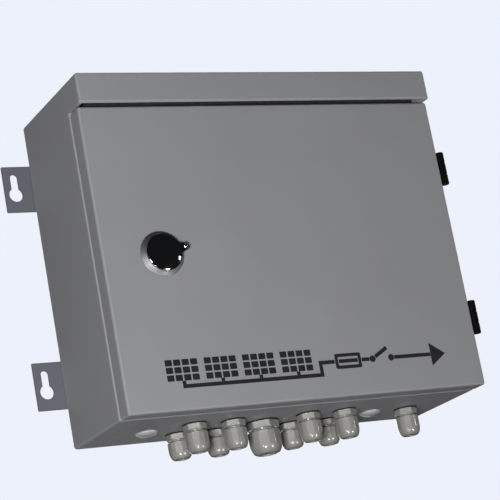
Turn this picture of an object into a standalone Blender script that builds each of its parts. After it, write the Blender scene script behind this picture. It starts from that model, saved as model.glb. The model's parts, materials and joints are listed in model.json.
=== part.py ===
"""DC combiner box: a wall-hung sheet-steel enclosure with a hinged door, quarter-turn lock, cable glands
and DIN-rail switchgear.

Frame: metres, +Z up, +X to the right as seen from the front, +Y into the wall. The origin is the centre
of the wall plane, which the four wall ears rest on, half-way up the enclosure.
"""

import math

import bmesh
import bpy
from mathutils import Matrix, Vector

# Driving dimensions
WIDTH = 0.350
HEIGHT = 0.300
BODY_DEPTH = 0.107
SHEET = 0.0015
BEND_RADIUS = 0.0018
EAR_SHEET = 0.002
TOUCH_GAP = 0.0003
OVERCUT = 0.005
ROUND_STEPS = 24
SMALL_ROUND_STEPS = 16

# Enclosure body
HALF_WIDTH = WIDTH / 2
HALF_HEIGHT = HEIGHT / 2
BACK_Y = -(EAR_SHEET + TOUCH_GAP)
RIM_Y = BACK_Y - BODY_DEPTH
HOOD_REACH = 0.0266
HOOD_HEIGHT = 0.0278
HOOD_WALL_EXTRA = 0.0003
HOOD_HEM = 0.0023
HOOD_UNDER_Z = HALF_HEIGHT - HOOD_HEIGHT
LIP_INSET = 0.014
LIP_REACH = 0.012
LIP_CORNER_RADIUS = 0.006

# Door
DOOR_DEPTH = 0.020
DOOR_REAR_GAP = 0.001
DOOR_TOP_GAP = 0.0012
DOOR_BOTTOM_Z = -HALF_HEIGHT
DOOR_TOP_Z = HOOD_UNDER_Z - DOOR_TOP_GAP
DOOR_MID_Z = (DOOR_TOP_Z + DOOR_BOTTOM_Z) / 2
DOOR_FRONT_Y = RIM_Y - DOOR_DEPTH
DOOR_INNER_Y = DOOR_FRONT_Y + SHEET
GASKET_WIDTH = 0.010

# Hinges, on the right side
HINGE_HEIGHT = 0.031
HINGE_MIDS_Z = {"upper": 0.0565, "lower": -0.0865}
HINGE_AXIS_X = HALF_WIDTH + 0.0051
HINGE_AXIS_Y = RIM_Y - 0.0155
KNUCKLE_RADIUS = 0.004
HINGE_PIN_RADIUS = 0.002
HINGE_LEAF = 0.0022
HINGE_PLATE_START = 0.0015
HINGE_PLATE_REACH = 0.026
HINGE_ARM_LAP = 0.004
DOOR_LEAF_END = 0.003
PIN_END_INSET = 0.0005

# Wall ears
EAR_REACH = 0.0266
EAR_LAP = 0.022
EAR_HEIGHT = 0.043
EAR_MIDS_Z = {"upper": 0.0913, "lower": -0.0913}
EAR_CORNER_RADIUS = 0.0005
KEYHOLE_OUT = 0.0162
KEYHOLE_RADIUS = 0.0064
KEYHOLE_SLOT_RADIUS = 0.0035
KEYHOLE_DROP = -0.0051
KEYHOLE_RISE = 0.0107

# Cable glands, in eight equal columns and three rows under the enclosure
COLUMN_PITCH = 0.0372
FIRST_COLUMN_X = -0.1270
ROW_Y = {"front": RIM_Y + 0.03725, "middle": RIM_Y + 0.056, "rear": RIM_Y + 0.07475}
SMALL_GLAND = {
    "flats": 0.0187, "round": 0.0103, "thread": 0.0076, "flange": 0.0050, "groove": 0.0015, "cap": 0.0182,
    "bore": 0.0042,
}
SCREWED_DOWN_GLAND = {**SMALL_GLAND, "cap": 0.0160}
LARGE_GLAND = {
    "flats": 0.0264, "round": 0.0146, "thread": 0.0112, "flange": 0.0060, "groove": 0.0018, "cap": 0.0212,
    "bore": 0.0068,
}
GLANDS = [(column, "front", SMALL_GLAND) for column in (1, 2, 4, 5)]
GLANDS += [(column, "rear", SCREWED_DOWN_GLAND) for column in (1, 2, 4, 5)]
GLANDS += [(3, "middle", LARGE_GLAND), (7, "middle", SMALL_GLAND)]
PLUG_COLUMNS = (0, 6)
GLAND_GASKET = 0.0012
GLAND_JOIN_LAP = 0.001
GLAND_NECK_SHARE = 0.86
GLAND_END_SHARE = 0.60
GLAND_DOME_SHARE = 0.32
GLAND_EDGE = 0.0006
GLAND_RECESS = 0.003
THREAD_RISE = 0.0085
HOLE_CLEARANCE = 0.0004
PLUG_RADIUS = 0.0100
PLUG_RISE = 0.0042
PLUG_STEM = 0.006

# Lock, near the door's left edge
LOCK_X = -0.120
LOCK_Z = DOOR_MID_Z + 0.001
LOCK_COLLAR_RADIUS = 0.0200
LOCK_COLLAR_TOP_RADIUS = 0.0152
LOCK_COLLAR_HEIGHT = 0.0050
LOCK_BARREL_RADIUS = 0.0108
LOCK_CORE_RADIUS = 0.0070
LOCK_COLLAR_EDGE = 0.0012
LOCK_CORE_DEPTH = 0.001
LOCK_CAM_GAP = 0.001
CORE_CAM_GAP = 0.0006
KEYWAY_HALF_WIDTH = 0.0011
KEYWAY_HALF_HEIGHT = 0.0042
KEYWAY_DEPTH = 0.008
LOCK_NUT_RADIUS = 0.0155
LOCK_NUT_THICKNESS = 0.005
COVER_RADIUS = 0.0164
COVER_RISE = 0.0030
COVER_RIM = 0.0008
COVER_TAB = 0.0014
COVER_EAR_REACH = 0.0205
COVER_EAR_ANGLE = math.radians(12)
COVER_EAR_RADIUS = 0.0034
EAR_NECK_LAP = 0.003
EAR_NECK_SHARE = 0.85
RIVET_RADIUS = 0.0013
RIVET_HEAD = [(0, 0.0028), (0.0016, 0.0025), (0.0024, 0.0017)]
CAM_THICKNESS = 0.002
CAM_REACH = 0.046
CAM_WIDTH = 0.014
CAM_FRONT_Y = RIM_Y + SHEET + 0.0006

# Switchgear inside
PLATE_WIDTH = 0.290
PLATE_HEIGHT = 0.225
PLATE_SHEET = 0.002
PLATE_MID_Z = -0.002
PLATE_STANDOFF = 0.008
PLATE_FRONT_Y = BACK_Y - SHEET - TOUCH_GAP - PLATE_STANDOFF - PLATE_SHEET
STANDOFF_RADIUS = 0.006
STANDOFF_INSET = 0.012
RAIL_LENGTH = 0.270
RAIL_HEIGHT = 0.035
RAIL_DEPTH = 0.0075
RAIL_SHEET = 0.001
RAIL_FLANGE = 0.004
RAIL_MID_Z = 0.025
RAIL_BACK_Y = PLATE_FRONT_Y - TOUCH_GAP
RAIL_FRONT_Y = RAIL_BACK_Y - RAIL_DEPTH
CASE_BACK_Y = RAIL_FRONT_Y - TOUCH_GAP
MODULE = 0.0176
CASE_CLEARANCE = 0.0004
CASE_HALF_HEIGHT = 0.041
CASE_SHOULDER_DEPTH = 0.034
CASE_NOSE_HALF_HEIGHT = 0.0225
CASE_EDGE = 0.0005
FUSE_COUNT = 4
FUSE_FIRST_X = -0.0935
FUSE_PITCH = 2 * MODULE + 0.001
CARRIER_HEIGHT = 0.042
CARRIER_DEPTH = 0.014
CARRIER_INSET = 0.001
CARRIER_PIVOT_INSET = 0.003
GRIP_HEIGHT = 0.016
GRIP_REACH = 0.006
FUSE_NOSE_Y = CASE_BACK_Y - 0.044
BREAKER_X = 0.054
BREAKER_NOSE_Y = CASE_BACK_Y - 0.060
TOGGLE_RADIUS = 0.0070
TOGGLE_REACH = 0.017
TOGGLE_TILT = math.radians(40)
TOGGLE_WIDTH = 0.022
TOGGLE_BLADE_WIDTH = 0.017
TOGGLE_ROOT, TOGGLE_TIP = 0.0024, 0.0016
TOGGLE_CLEARANCE = 0.0006
TOGGLE_AXIS_Y = BREAKER_NOSE_Y + 0.003
SURGE_X = 0.104
SURGE_NOSE_Y = CASE_BACK_Y - 0.052
SURGE_SLOT = 0.0008
SURGE_SLOT_DEPTH = 0.008
BAR_Z = -0.062
BLOCK_X = -0.080
BLOCK_WIDTH = 0.036
BLOCK_HALF_HEIGHT = 0.020
BLOCK_DEPTH = 0.034
BLOCK_SLOPE = (0.014, 0.010)
EARTH_BAR_ENDS = (0.045, 0.125)
EARTH_BAR_HALF_HEIGHT = 0.005
EARTH_BAR_THICKNESS = 0.009
EARTH_FOOT_LENGTH = 0.013
EARTH_FOOT_RADIUS = 0.004
EARTH_FOOT_INSET = 0.008
LEAD_RADIUS = 0.0022
BUSBAR_HEIGHT = 0.009
BUSBAR_DEPTH = 0.010
BUSBAR_BACK_Y = CASE_BACK_Y - 0.024

# Turns from an outline's own plane to the object's frame
PLAN = Matrix.Identity(4)
SIDE = Matrix(((0, 0, 1), (1, 0, 0), (0, 1, 0))).to_4x4()
FRONT = Matrix(((1, 0, 0), (0, 0, -1), (0, 1, 0))).to_4x4()

COLOURS = {
    "enclosure_paint": ((0.42, 0.42, 0.43), 0.55, 0.0),
    "gland_plastic": ((0.50, 0.49, 0.47), 0.45, 0.0),
    "hinge_black": ((0.012, 0.012, 0.013), 0.45, 0.2),
    "chrome": ((0.55, 0.56, 0.58), 0.12, 1.0),
    "zinc_plated": ((0.60, 0.61, 0.62), 0.35, 1.0),
    "gasket_foam": ((0.03, 0.03, 0.03), 0.9, 0.0),
    "device_grey": ((0.62, 0.62, 0.60), 0.5, 0.0),
    "device_dark": ((0.05, 0.05, 0.055), 0.5, 0.0),
    "brass": ((0.70, 0.52, 0.25), 0.3, 1.0),
    "lead_red": ((0.45, 0.03, 0.02), 0.45, 0.0),
}


def clear_scene():
    for obj in list(bpy.data.objects):
        bpy.data.objects.remove(obj)


def make_collection(name, hidden=False):
    collection = bpy.data.collections.new(name)
    bpy.context.scene.collection.children.link(collection)
    collection.hide_render = hidden
    return collection


def make_material(name, colour, roughness, metallic):
    material = bpy.data.materials.new(name)
    material.use_nodes = True
    shader = material.node_tree.nodes["Principled BSDF"]
    shader.inputs["Base Color"].default_value = (*colour, 1)
    shader.inputs["Roughness"].default_value = roughness
    shader.inputs["Metallic"].default_value = metallic
    return material


def add_object(name, data, look=None):
    """Link a mesh or curve as a piece in its look, or as a cutter where it has none."""
    obj = bpy.data.objects.new(name, data)
    if look:
        PIECES.objects.link(obj)
        data.materials.clear()
        data.materials.append(make_material(name, *COLOURS[look]))
    else:
        CUTTERS.objects.link(obj)
        obj.hide_render = True
        obj.display_type = "WIRE"
    return obj


def add_bmesh(name, shape, look=None):
    mesh = bpy.data.meshes.new(name)
    shape.to_mesh(mesh)
    shape.free()
    return add_object(name, mesh, look)


def solid_mesh(obj):
    """The evaluated mesh of an object, its loose caps welded, with the object itself removed."""
    bpy.context.view_layer.update()
    evaluated = obj.evaluated_get(bpy.context.evaluated_depsgraph_get())
    mesh = bpy.data.meshes.new_from_object(evaluated)
    mesh.transform(obj.matrix_world)
    bpy.data.objects.remove(obj)
    shape = bmesh.new()
    shape.from_mesh(mesh)
    bmesh.ops.remove_doubles(shape, verts=shape.verts, dist=1e-6)
    bmesh.ops.recalc_face_normals(shape, faces=shape.faces)
    shape.to_mesh(mesh)
    shape.free()
    return mesh


def box(name, low, high, look=None):
    """A box between two corners."""
    shape = bmesh.new()
    bmesh.ops.create_cube(shape, size=1)
    size = [b - a for a, b in zip(low, high)]
    middle = [(a + b) / 2 for a, b in zip(low, high)]
    bmesh.ops.scale(shape, vec=size, verts=shape.verts)
    bmesh.ops.translate(shape, vec=middle, verts=shape.verts)
    return add_bmesh(name, shape, look)


def cylinder(name, radius, low, high, axis, look=None, steps=ROUND_STEPS):
    """A cylinder between two points, its length along the X, Y or Z axis."""
    shape = bmesh.new()
    length = (Vector(high) - Vector(low)).length
    turn = {"X": Matrix.Rotation(math.pi / 2, 4, "Y"), "Y": Matrix.Rotation(-math.pi / 2, 4, "X"), "Z": PLAN}
    bmesh.ops.create_cone(
        shape, cap_ends=True, segments=steps, radius1=radius, radius2=radius, depth=length
    )
    bmesh.ops.transform(shape, matrix=turn[axis], verts=shape.verts)
    bmesh.ops.translate(shape, vec=(Vector(low) + Vector(high)) / 2, verts=shape.verts)
    return add_bmesh(name, shape, look)


def turned(name, profile, look=None, steps=ROUND_STEPS, at=PLAN):
    """A profile of (radius, height) points turned round its Z axis, from the top of its outer side down."""
    mesh = bpy.data.meshes.new(name)
    on_axis = profile[0][0] == 0 and profile[-1][0] == 0
    edges = [(i, i + 1) for i in range(len(profile) - 1)]
    if not on_axis:
        edges.append((len(profile) - 1, 0))
    mesh.from_pydata([(r, 0, z) for r, z in profile], edges, [])
    obj = add_object(name, mesh)
    screw = obj.modifiers.new("turn", "SCREW")
    screw.steps = screw.render_steps = steps
    screw.use_merge_vertices = True
    screw.merge_threshold = 0.00001
    obj.matrix_world = at
    return add_object(name, solid_mesh(obj), look)


def outline(name, loops, thickness, turn, offset=(0, 0, 0), look=None):
    """A flat outline, with any further loops as its holes, made a plate of the given thickness."""
    curve = bpy.data.curves.new(name, "CURVE")
    curve.dimensions = "2D"
    curve.fill_mode = "BOTH"
    curve.extrude = thickness / 2
    for points in loops:
        spline = curve.splines.new("POLY")
        spline.points.add(len(points) - 1)
        spline.use_cyclic_u = True
        for point, place in zip(spline.points, points):
            point.co = (*place, 0, 1)
    obj = add_object(name, curve)
    obj.matrix_world = Matrix.Translation(offset) @ turn
    return add_object(name, solid_mesh(obj), look)


def combine(obj, other, operation):
    boolean = obj.modifiers.new(operation.lower(), "BOOLEAN")
    boolean.object = other
    boolean.operation = operation
    boolean.solver = "EXACT"


def helper(other):
    """Turn a piece into one that only shapes its neighbours."""
    other.hide_render = True
    other.display_type = "WIRE"
    return other


def cut(obj, *others):
    for other in others:
        combine(obj, helper(other), "DIFFERENCE")


def join(obj, *others):
    for other in others:
        combine(obj, helper(other), "UNION")


def round_edges(obj, width, segments=2):
    bevel = obj.modifiers.new("edges", "BEVEL")
    bevel.width = width
    bevel.segments = segments
    bevel.limit_method = "ANGLE"
    bevel.angle_limit = math.radians(40)


def smooth(obj):
    obj.data.shade_smooth()
    obj.data.set_sharp_from_angle(angle=math.radians(35))


def set_origin(obj, point):
    """Move an object's origin to a point on its joint's axis without moving its shape."""
    obj.data.transform(Matrix.Translation(-Vector(point)))
    obj.location = point


def arc(centre, radius, start, end, steps):
    """Points along an arc, angles in degrees."""
    turns = [math.radians(start + (end - start) * i / steps) for i in range(steps + 1)]
    return [(centre[0] + radius * math.cos(t), centre[1] + radius * math.sin(t)) for t in turns]


def rounded_rectangle(low, high, radius, steps=4):
    corners = [
        ((high[0] - radius, high[1] - radius), 0),
        ((low[0] + radius, high[1] - radius), 90),
        ((low[0] + radius, low[1] + radius), 180),
        ((high[0] - radius, low[1] + radius), 270),
    ]
    return [point for middle, start in corners for point in arc(middle, radius, start, start + 90, steps)]


def column_x(column):
    return FIRST_COLUMN_X + COLUMN_PITCH * column


# Enclosure


def body_profile():
    """The side view of the enclosure with its rain hood."""
    return [
        (BACK_Y, -HALF_HEIGHT),
        (BACK_Y, HALF_HEIGHT),
        (RIM_Y - HOOD_REACH, HALF_HEIGHT),
        (RIM_Y - HOOD_REACH, HOOD_UNDER_Z),
        (RIM_Y, HOOD_UNDER_Z),
        (RIM_Y, -HALF_HEIGHT),
    ]


def lip_loop(inset):
    """The rain lip round the door opening, seen from the front."""
    reach = LIP_INSET + inset
    low = (-HALF_WIDTH + reach, DOOR_BOTTOM_Z + reach)
    high = (HALF_WIDTH - reach, DOOR_TOP_Z - reach)
    return rounded_rectangle(low, high, LIP_CORNER_RADIUS - inset)


def entry_holes():
    """One cutter under the enclosure for each gland and blanking plug."""
    entries = [(column, row, size["thread"]) for column, row, size in GLANDS]
    entries += [(column, "middle", SMALL_GLAND["thread"]) for column in PLUG_COLUMNS]
    for number, (column, row, radius) in enumerate(entries, 1):
        x, y = column_x(column), ROW_Y[row]
        low, high = (x, y, -HALF_HEIGHT - OVERCUT), (x, y, -HALF_HEIGHT + SHEET + OVERCUT)
        yield cylinder(f"entry_{number}_cut", radius + HOLE_CLEARANCE, low, high, "Z", steps=SMALL_ROUND_STEPS)


def make_enclosure():
    """A sheet box whose rain hood is open underneath, in front of the wall that the door shuts against."""
    body = outline("enclosure_body", [body_profile()], WIDTH, SIDE, look="enclosure_paint")
    round_edges(body, BEND_RADIUS)
    inner_x, inner_top = HALF_WIDTH - SHEET, HALF_HEIGHT - SHEET
    inside_low = (-inner_x, RIM_Y + SHEET, -inner_top)
    hood_x = HALF_WIDTH - HOOD_HEM
    hood_low = (-hood_x, RIM_Y - HOOD_REACH + HOOD_HEM, HOOD_UNDER_Z - OVERCUT)
    cut(
        body,
        box("inside_cut", inside_low, (inner_x, BACK_Y - SHEET, inner_top)),
        box("hood_cut", hood_low, (hood_x, RIM_Y - HOOD_WALL_EXTRA, inner_top)),
    )
    lip_depth = LIP_REACH + SHEET / 2
    lip_middle = (0, RIM_Y + SHEET / 2 - lip_depth / 2, 0)
    lip = outline("lip_join", [lip_loop(0), lip_loop(SHEET)], lip_depth, FRONT, lip_middle)
    opening = outline("opening_cut", [lip_loop(SHEET / 2)], 2 * OVERCUT, FRONT, (0, RIM_Y, 0))
    cut(body, opening)
    join(body, lip)
    cut(body, *entry_holes())
    smooth(body)


def make_door():
    low = (-HALF_WIDTH, DOOR_FRONT_Y, DOOR_BOTTOM_Z)
    high = (HALF_WIDTH, RIM_Y - DOOR_REAR_GAP, DOOR_TOP_Z)
    panel = box("door_panel", low, high, look="enclosure_paint")
    round_edges(panel, BEND_RADIUS)
    hollow_low = (low[0] + SHEET, DOOR_INNER_Y, low[2] + SHEET)
    hollow_high = (high[0] - SHEET, RIM_Y + OVERCUT, high[2] - SHEET)
    hole_ends = (LOCK_X, DOOR_FRONT_Y - OVERCUT, LOCK_Z), (LOCK_X, DOOR_INNER_Y + OVERCUT, LOCK_Z)
    cut(
        panel,
        box("door_hollow_cut", hollow_low, hollow_high),
        cylinder("lock_hole_cut", LOCK_BARREL_RADIUS + HOLE_CLEARANCE, *hole_ends, "Y"),
    )
    set_origin(panel, (HINGE_AXIS_X, HINGE_AXIS_Y, DOOR_MID_Z))
    thickness = RIM_Y - LIP_REACH - DOOR_INNER_Y - 2 * TOUCH_GAP
    middle = (0, DOOR_INNER_Y + TOUCH_GAP + thickness / 2, 0)
    half = (GASKET_WIDTH - SHEET) / 2
    loops = [lip_loop(-half), lip_loop(half)]
    gasket = outline("door_gasket", loops, thickness, FRONT, middle, "gasket_foam")
    set_origin(gasket, (HINGE_AXIS_X, HINGE_AXIS_Y, DOOR_MID_Z))


def make_hinge(place):
    """A leaf bolted to the enclosure's side carries the outer knuckles, and the door's leaf the middle one."""
    mid_z = HINGE_MIDS_Z[place]
    half = HINGE_HEIGHT / 2
    third = HINGE_HEIGHT / 6
    leaf_x = HALF_WIDTH + TOUCH_GAP
    arm_x = HALF_WIDTH + 2 * TOUCH_GAP
    axis = (HINGE_AXIS_X, HINGE_AXIS_Y)

    def knuckle(name, low_z, high_z, look=None):
        return cylinder(name, KNUCKLE_RADIUS, (*axis, low_z), (*axis, high_z), "Z", look)

    body_leaf = box(
        f"hinge_{place}_body_leaf",
        (leaf_x, RIM_Y + HINGE_PLATE_START, mid_z - half),
        (leaf_x + HINGE_LEAF, RIM_Y + HINGE_PLATE_REACH, mid_z + half),
        "hinge_black",
    )
    for side, (low_z, high_z) in {
        "top": (mid_z + third + TOUCH_GAP, mid_z + half),
        "base": (mid_z - half, mid_z - third - TOUCH_GAP),
    }.items():
        arm_low = (arm_x, HINGE_AXIS_Y, low_z)
        arm_high = (leaf_x + HINGE_LEAF, RIM_Y + HINGE_ARM_LAP, high_z)
        join(body_leaf, box(f"{place}_{side}_arm_join", arm_low, arm_high))
        join(body_leaf, knuckle(f"{place}_{side}_knuckle_join", low_z, high_z))
    door_leaf = box(
        f"hinge_{place}_door_leaf",
        (leaf_x, HINGE_AXIS_Y, mid_z - third),
        (leaf_x + HINGE_LEAF, RIM_Y - DOOR_LEAF_END, mid_z + third),
        "hinge_black",
    )
    join(door_leaf, knuckle(f"{place}_door_knuckle_join", mid_z - third, mid_z + third))
    bore_ends = (*axis, mid_z - half - OVERCUT), (*axis, mid_z + half + OVERCUT)
    for leaf in (body_leaf, door_leaf):
        bore = cylinder(f"{leaf.name}_bore_cut", HINGE_PIN_RADIUS + TOUCH_GAP, *bore_ends, "Z", steps=SMALL_ROUND_STEPS)
        cut(leaf, bore)
    set_origin(door_leaf, (*axis, mid_z))
    pin_ends = (*axis, mid_z - half + PIN_END_INSET), (*axis, mid_z + half - PIN_END_INSET)
    cylinder(f"hinge_{place}_pin", HINGE_PIN_RADIUS, *pin_ends, "Z", "zinc_plated", steps=SMALL_ROUND_STEPS)


def keyhole(x, mid_z):
    """A round hole with a narrower slot rising from it, which hangs on a wall screw."""
    low, high = (x, mid_z + KEYHOLE_DROP), (x, mid_z + KEYHOLE_RISE)
    meet = math.degrees(math.acos(KEYHOLE_SLOT_RADIUS / KEYHOLE_RADIUS))
    return arc(low, KEYHOLE_RADIUS, 180 - meet, 360 + meet, 18) + arc(high, KEYHOLE_SLOT_RADIUS, 0, 180, 8)


def make_ears():
    for place, mid_z in EAR_MIDS_Z.items():
        for side, sign in (("left", -1), ("right", 1)):
            ends = sorted((sign * (HALF_WIDTH + EAR_REACH), sign * (HALF_WIDTH - EAR_LAP)))
            low, high = (ends[0], mid_z - EAR_HEIGHT / 2), (ends[1], mid_z + EAR_HEIGHT / 2)
            loops = [rounded_rectangle(low, high, EAR_CORNER_RADIUS, 2), keyhole(sign * (HALF_WIDTH + KEYHOLE_OUT), mid_z)]
            middle = (0, -EAR_SHEET / 2, 0)
            outline(f"ear_{place}_{side}", loops, EAR_SHEET, FRONT, middle, "enclosure_paint")


# Cable entries


def make_gland(number, column, row, size):
    """A hexagon-flanged body screwed up through the wall, and the domed nut that closes on it."""
    x, y = column_x(column), ROW_Y[row]
    top = -HALF_HEIGHT - GLAND_GASKET
    flange_end = top - size["flange"]
    groove_end = flange_end - size["groove"]
    cap_end = groove_end - size["cap"]
    hexagon = size["flats"] / math.sqrt(3)
    body = cylinder(
        f"gland_{number}_body", hexagon, (x, y, flange_end), (x, y, top), "Z", "gland_plastic", steps=6
    )
    thread_ends = (x, y, flange_end + GLAND_JOIN_LAP), (x, y, -HALF_HEIGHT + THREAD_RISE)
    neck_ends = (x, y, groove_end + TOUCH_GAP), (x, y, top - GLAND_JOIN_LAP)
    join(
        body,
        cylinder(f"gland_{number}_thread_join", size["thread"], *thread_ends, "Z", steps=SMALL_ROUND_STEPS),
        cylinder(f"gland_{number}_neck_join", size["round"] * GLAND_NECK_SHARE, *neck_ends, "Z", steps=SMALL_ROUND_STEPS),
    )
    shoulder = size["round"]
    end_radius = size["round"] * GLAND_END_SHARE
    bend = size["cap"] * GLAND_DOME_SHARE
    dome = [
        (end_radius + (shoulder - end_radius) * math.cos(t), cap_end + bend * (1 - math.sin(t)))
        for t in (math.radians(30 * step) for step in range(4))
    ]
    recess_top = cap_end + GLAND_RECESS
    recess = [(size["bore"], cap_end), (size["bore"], recess_top), (0, recess_top)]
    profile = [(0, groove_end), (shoulder - GLAND_EDGE, groove_end), (shoulder, groove_end - GLAND_EDGE)]
    blank = turned(f"gland_{number}_cap", profile + dome + recess, "gland_plastic", 18)
    blank.data.transform(Matrix.Translation((x, y, 0)))
    flats_ends = (x, y, cap_end - OVERCUT), (x, y, groove_end + OVERCUT)
    flats = cylinder(f"gland_{number}_flats_keep", hexagon, *flats_ends, "Z", steps=6)
    combine(blank, flats, "INTERSECT")


def make_plug(number, column):
    """A push-in button that closes a spare entry."""
    rise = [(PLUG_RADIUS * math.cos(t), -PLUG_RISE * math.sin(t)) for t in map(math.radians, (0, 20, 45, 70))]
    stem = SMALL_GLAND["thread"] - HOLE_CLEARANCE
    profile = [(0, PLUG_STEM), (stem, PLUG_STEM), (stem, 0), *rise, (0, -PLUG_RISE)]
    place = Matrix.Translation((column_x(column), ROW_Y["middle"], -HALF_HEIGHT - TOUCH_GAP))
    turned(f"blanking_plug_{number}", profile, "gland_plastic", 16, place)


# Lock


def lock_frame(depth):
    """A frame whose Z axis points out of the door along the lock's axis, from a depth along Y."""
    return Matrix.Translation((LOCK_X, depth, LOCK_Z)) @ Matrix.Rotation(math.pi / 2, 4, "X")


def ear_pin():
    """The place of the dust cover's rivet, seen from the front."""
    x = LOCK_X + COVER_EAR_REACH * math.cos(COVER_EAR_ANGLE)
    return x, LOCK_Z + COVER_EAR_REACH * math.sin(COVER_EAR_ANGLE)


def make_lock():
    face_y = DOOR_FRONT_Y - TOUCH_GAP
    barrel_end = DOOR_FRONT_Y - CAM_FRONT_Y + LOCK_CAM_GAP
    bore = LOCK_CORE_RADIUS + TOUCH_GAP
    collar = LOCK_COLLAR_RADIUS
    profile = [
        (bore, LOCK_COLLAR_HEIGHT), (LOCK_COLLAR_TOP_RADIUS, LOCK_COLLAR_HEIGHT),
        (collar, LOCK_COLLAR_EDGE), (collar, 0), (LOCK_BARREL_RADIUS, 0),
        (LOCK_BARREL_RADIUS, barrel_end), (bore, barrel_end),
    ]
    housing = turned("lock_housing", profile, "chrome", at=lock_frame(face_y))
    pin_x, pin_z = ear_pin()
    collar_y = face_y - LOCK_COLLAR_HEIGHT
    boss_ends = (pin_x, collar_y, pin_z), (pin_x, face_y, pin_z)
    join(housing, cylinder("ear_boss_join", COVER_EAR_RADIUS, *boss_ends, "Y", steps=SMALL_ROUND_STEPS))
    neck = box(
        "ear_neck_join",
        (LOCK_X + LOCK_COLLAR_TOP_RADIUS - EAR_NECK_LAP, collar_y, pin_z - COVER_EAR_RADIUS * EAR_NECK_SHARE),
        (pin_x, face_y, pin_z + COVER_EAR_RADIUS * EAR_NECK_SHARE),
    )
    join(housing, neck)

    core_front = collar_y + LOCK_CORE_DEPTH
    core_ends = (LOCK_X, core_front, LOCK_Z), (LOCK_X, CAM_FRONT_Y - CORE_CAM_GAP, LOCK_Z)
    core = cylinder("lock_core", LOCK_CORE_RADIUS, *core_ends, "Y", "zinc_plated")
    key_low = (LOCK_X - KEYWAY_HALF_WIDTH, core_front - OVERCUT, LOCK_Z - KEYWAY_HALF_HEIGHT)
    key_high = (LOCK_X + KEYWAY_HALF_WIDTH, core_front + KEYWAY_DEPTH, LOCK_Z + KEYWAY_HALF_HEIGHT)
    cut(core, box("keyway_cut", key_low, key_high))
    set_origin(core, (LOCK_X, collar_y, LOCK_Z))

    half = CAM_WIDTH / 2
    end = (LOCK_X, LOCK_Z - CAM_REACH + half)
    blade = arc((LOCK_X, LOCK_Z), half, 0, 180, 10) + arc(end, half, 180, 360, 10)
    middle = (0, CAM_FRONT_Y + CAM_THICKNESS / 2, 0)
    cam = outline("lock_cam", [blade], CAM_THICKNESS, FRONT, middle, "zinc_plated")
    set_origin(cam, (LOCK_X, CAM_FRONT_Y, LOCK_Z))

    nut_y = DOOR_INNER_Y + TOUCH_GAP
    nut_ends = (LOCK_X, nut_y, LOCK_Z), (LOCK_X, nut_y + LOCK_NUT_THICKNESS, LOCK_Z)
    nut = cylinder("lock_nut", LOCK_NUT_RADIUS, *nut_ends, "Y", "zinc_plated", steps=6)
    nut_bore_ends = (LOCK_X, nut_y - OVERCUT, LOCK_Z), (LOCK_X, nut_y + LOCK_NUT_THICKNESS + OVERCUT, LOCK_Z)
    cut(nut, cylinder("nut_bore_cut", LOCK_BARREL_RADIUS + TOUCH_GAP, *nut_bore_ends, "Y"))


def make_dust_cover():
    """A domed disc that swings on a rivet in its ear, clear of the lock's face."""
    pin_x, pin_z = ear_pin()
    cover_y = DOOR_FRONT_Y - 2 * TOUCH_GAP - LOCK_COLLAR_HEIGHT
    turns = map(math.radians, (75, 50, 25, 0))
    dome = [(COVER_RADIUS * math.cos(t), COVER_RIM + COVER_RISE * math.sin(t)) for t in turns]
    profile = [(0, COVER_RIM + COVER_RISE), *dome, (COVER_RADIUS, 0), (0, 0)]
    cover = turned("lock_dust_cover", profile, "chrome", at=lock_frame(cover_y))
    tab = arc((pin_x, pin_z), COVER_EAR_RADIUS, -70, 94, 8)
    root_x = LOCK_X + COVER_RADIUS * 0.9
    tab += [(root_x, pin_z + COVER_EAR_RADIUS), (root_x, pin_z - COVER_EAR_RADIUS)]
    middle = (0, cover_y - COVER_TAB / 2, 0)
    join(cover, outline("cover_tab_join", [tab], COVER_TAB, FRONT, middle))
    hole_ends = (pin_x, cover_y - OVERCUT, pin_z), (pin_x, cover_y + OVERCUT, pin_z)
    cut(cover, cylinder("cover_hole_cut", RIVET_RADIUS + TOUCH_GAP / 2, *hole_ends, "Y", steps=SMALL_ROUND_STEPS))
    set_origin(cover, (pin_x, cover_y, pin_z))
    shank_end = COVER_TAB + TOUCH_GAP
    profile = [*RIVET_HEAD, (RIVET_RADIUS, shank_end), (RIVET_RADIUS, 0), (0, 0)]
    place = Matrix.Translation((pin_x, cover_y, pin_z)) @ Matrix.Rotation(math.pi / 2, 4, "X")
    turned("lock_cover_rivet", profile, "chrome", SMALL_ROUND_STEPS, place)


# Switchgear


def make_plate():
    """The mounting plate with its four pressed-in standoffs."""
    low = (-PLATE_WIDTH / 2, PLATE_FRONT_Y, PLATE_MID_Z - PLATE_HEIGHT / 2)
    high = (PLATE_WIDTH / 2, PLATE_FRONT_Y + PLATE_SHEET, PLATE_MID_Z + PLATE_HEIGHT / 2)
    plate = box("mounting_plate", low, high, look="zinc_plated")
    for number, (x, z) in enumerate((sx, sz) for sx in (low[0], high[0]) for sz in (low[2], high[2])):
        x -= math.copysign(STANDOFF_INSET, x)
        z -= math.copysign(STANDOFF_INSET, z)
        ends = (x, PLATE_FRONT_Y + PLATE_SHEET / 2, z), (x, BACK_Y - SHEET - TOUCH_GAP, z)
        join(plate, cylinder(f"standoff_{number}_join", STANDOFF_RADIUS, *ends, "Y", steps=12))


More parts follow.
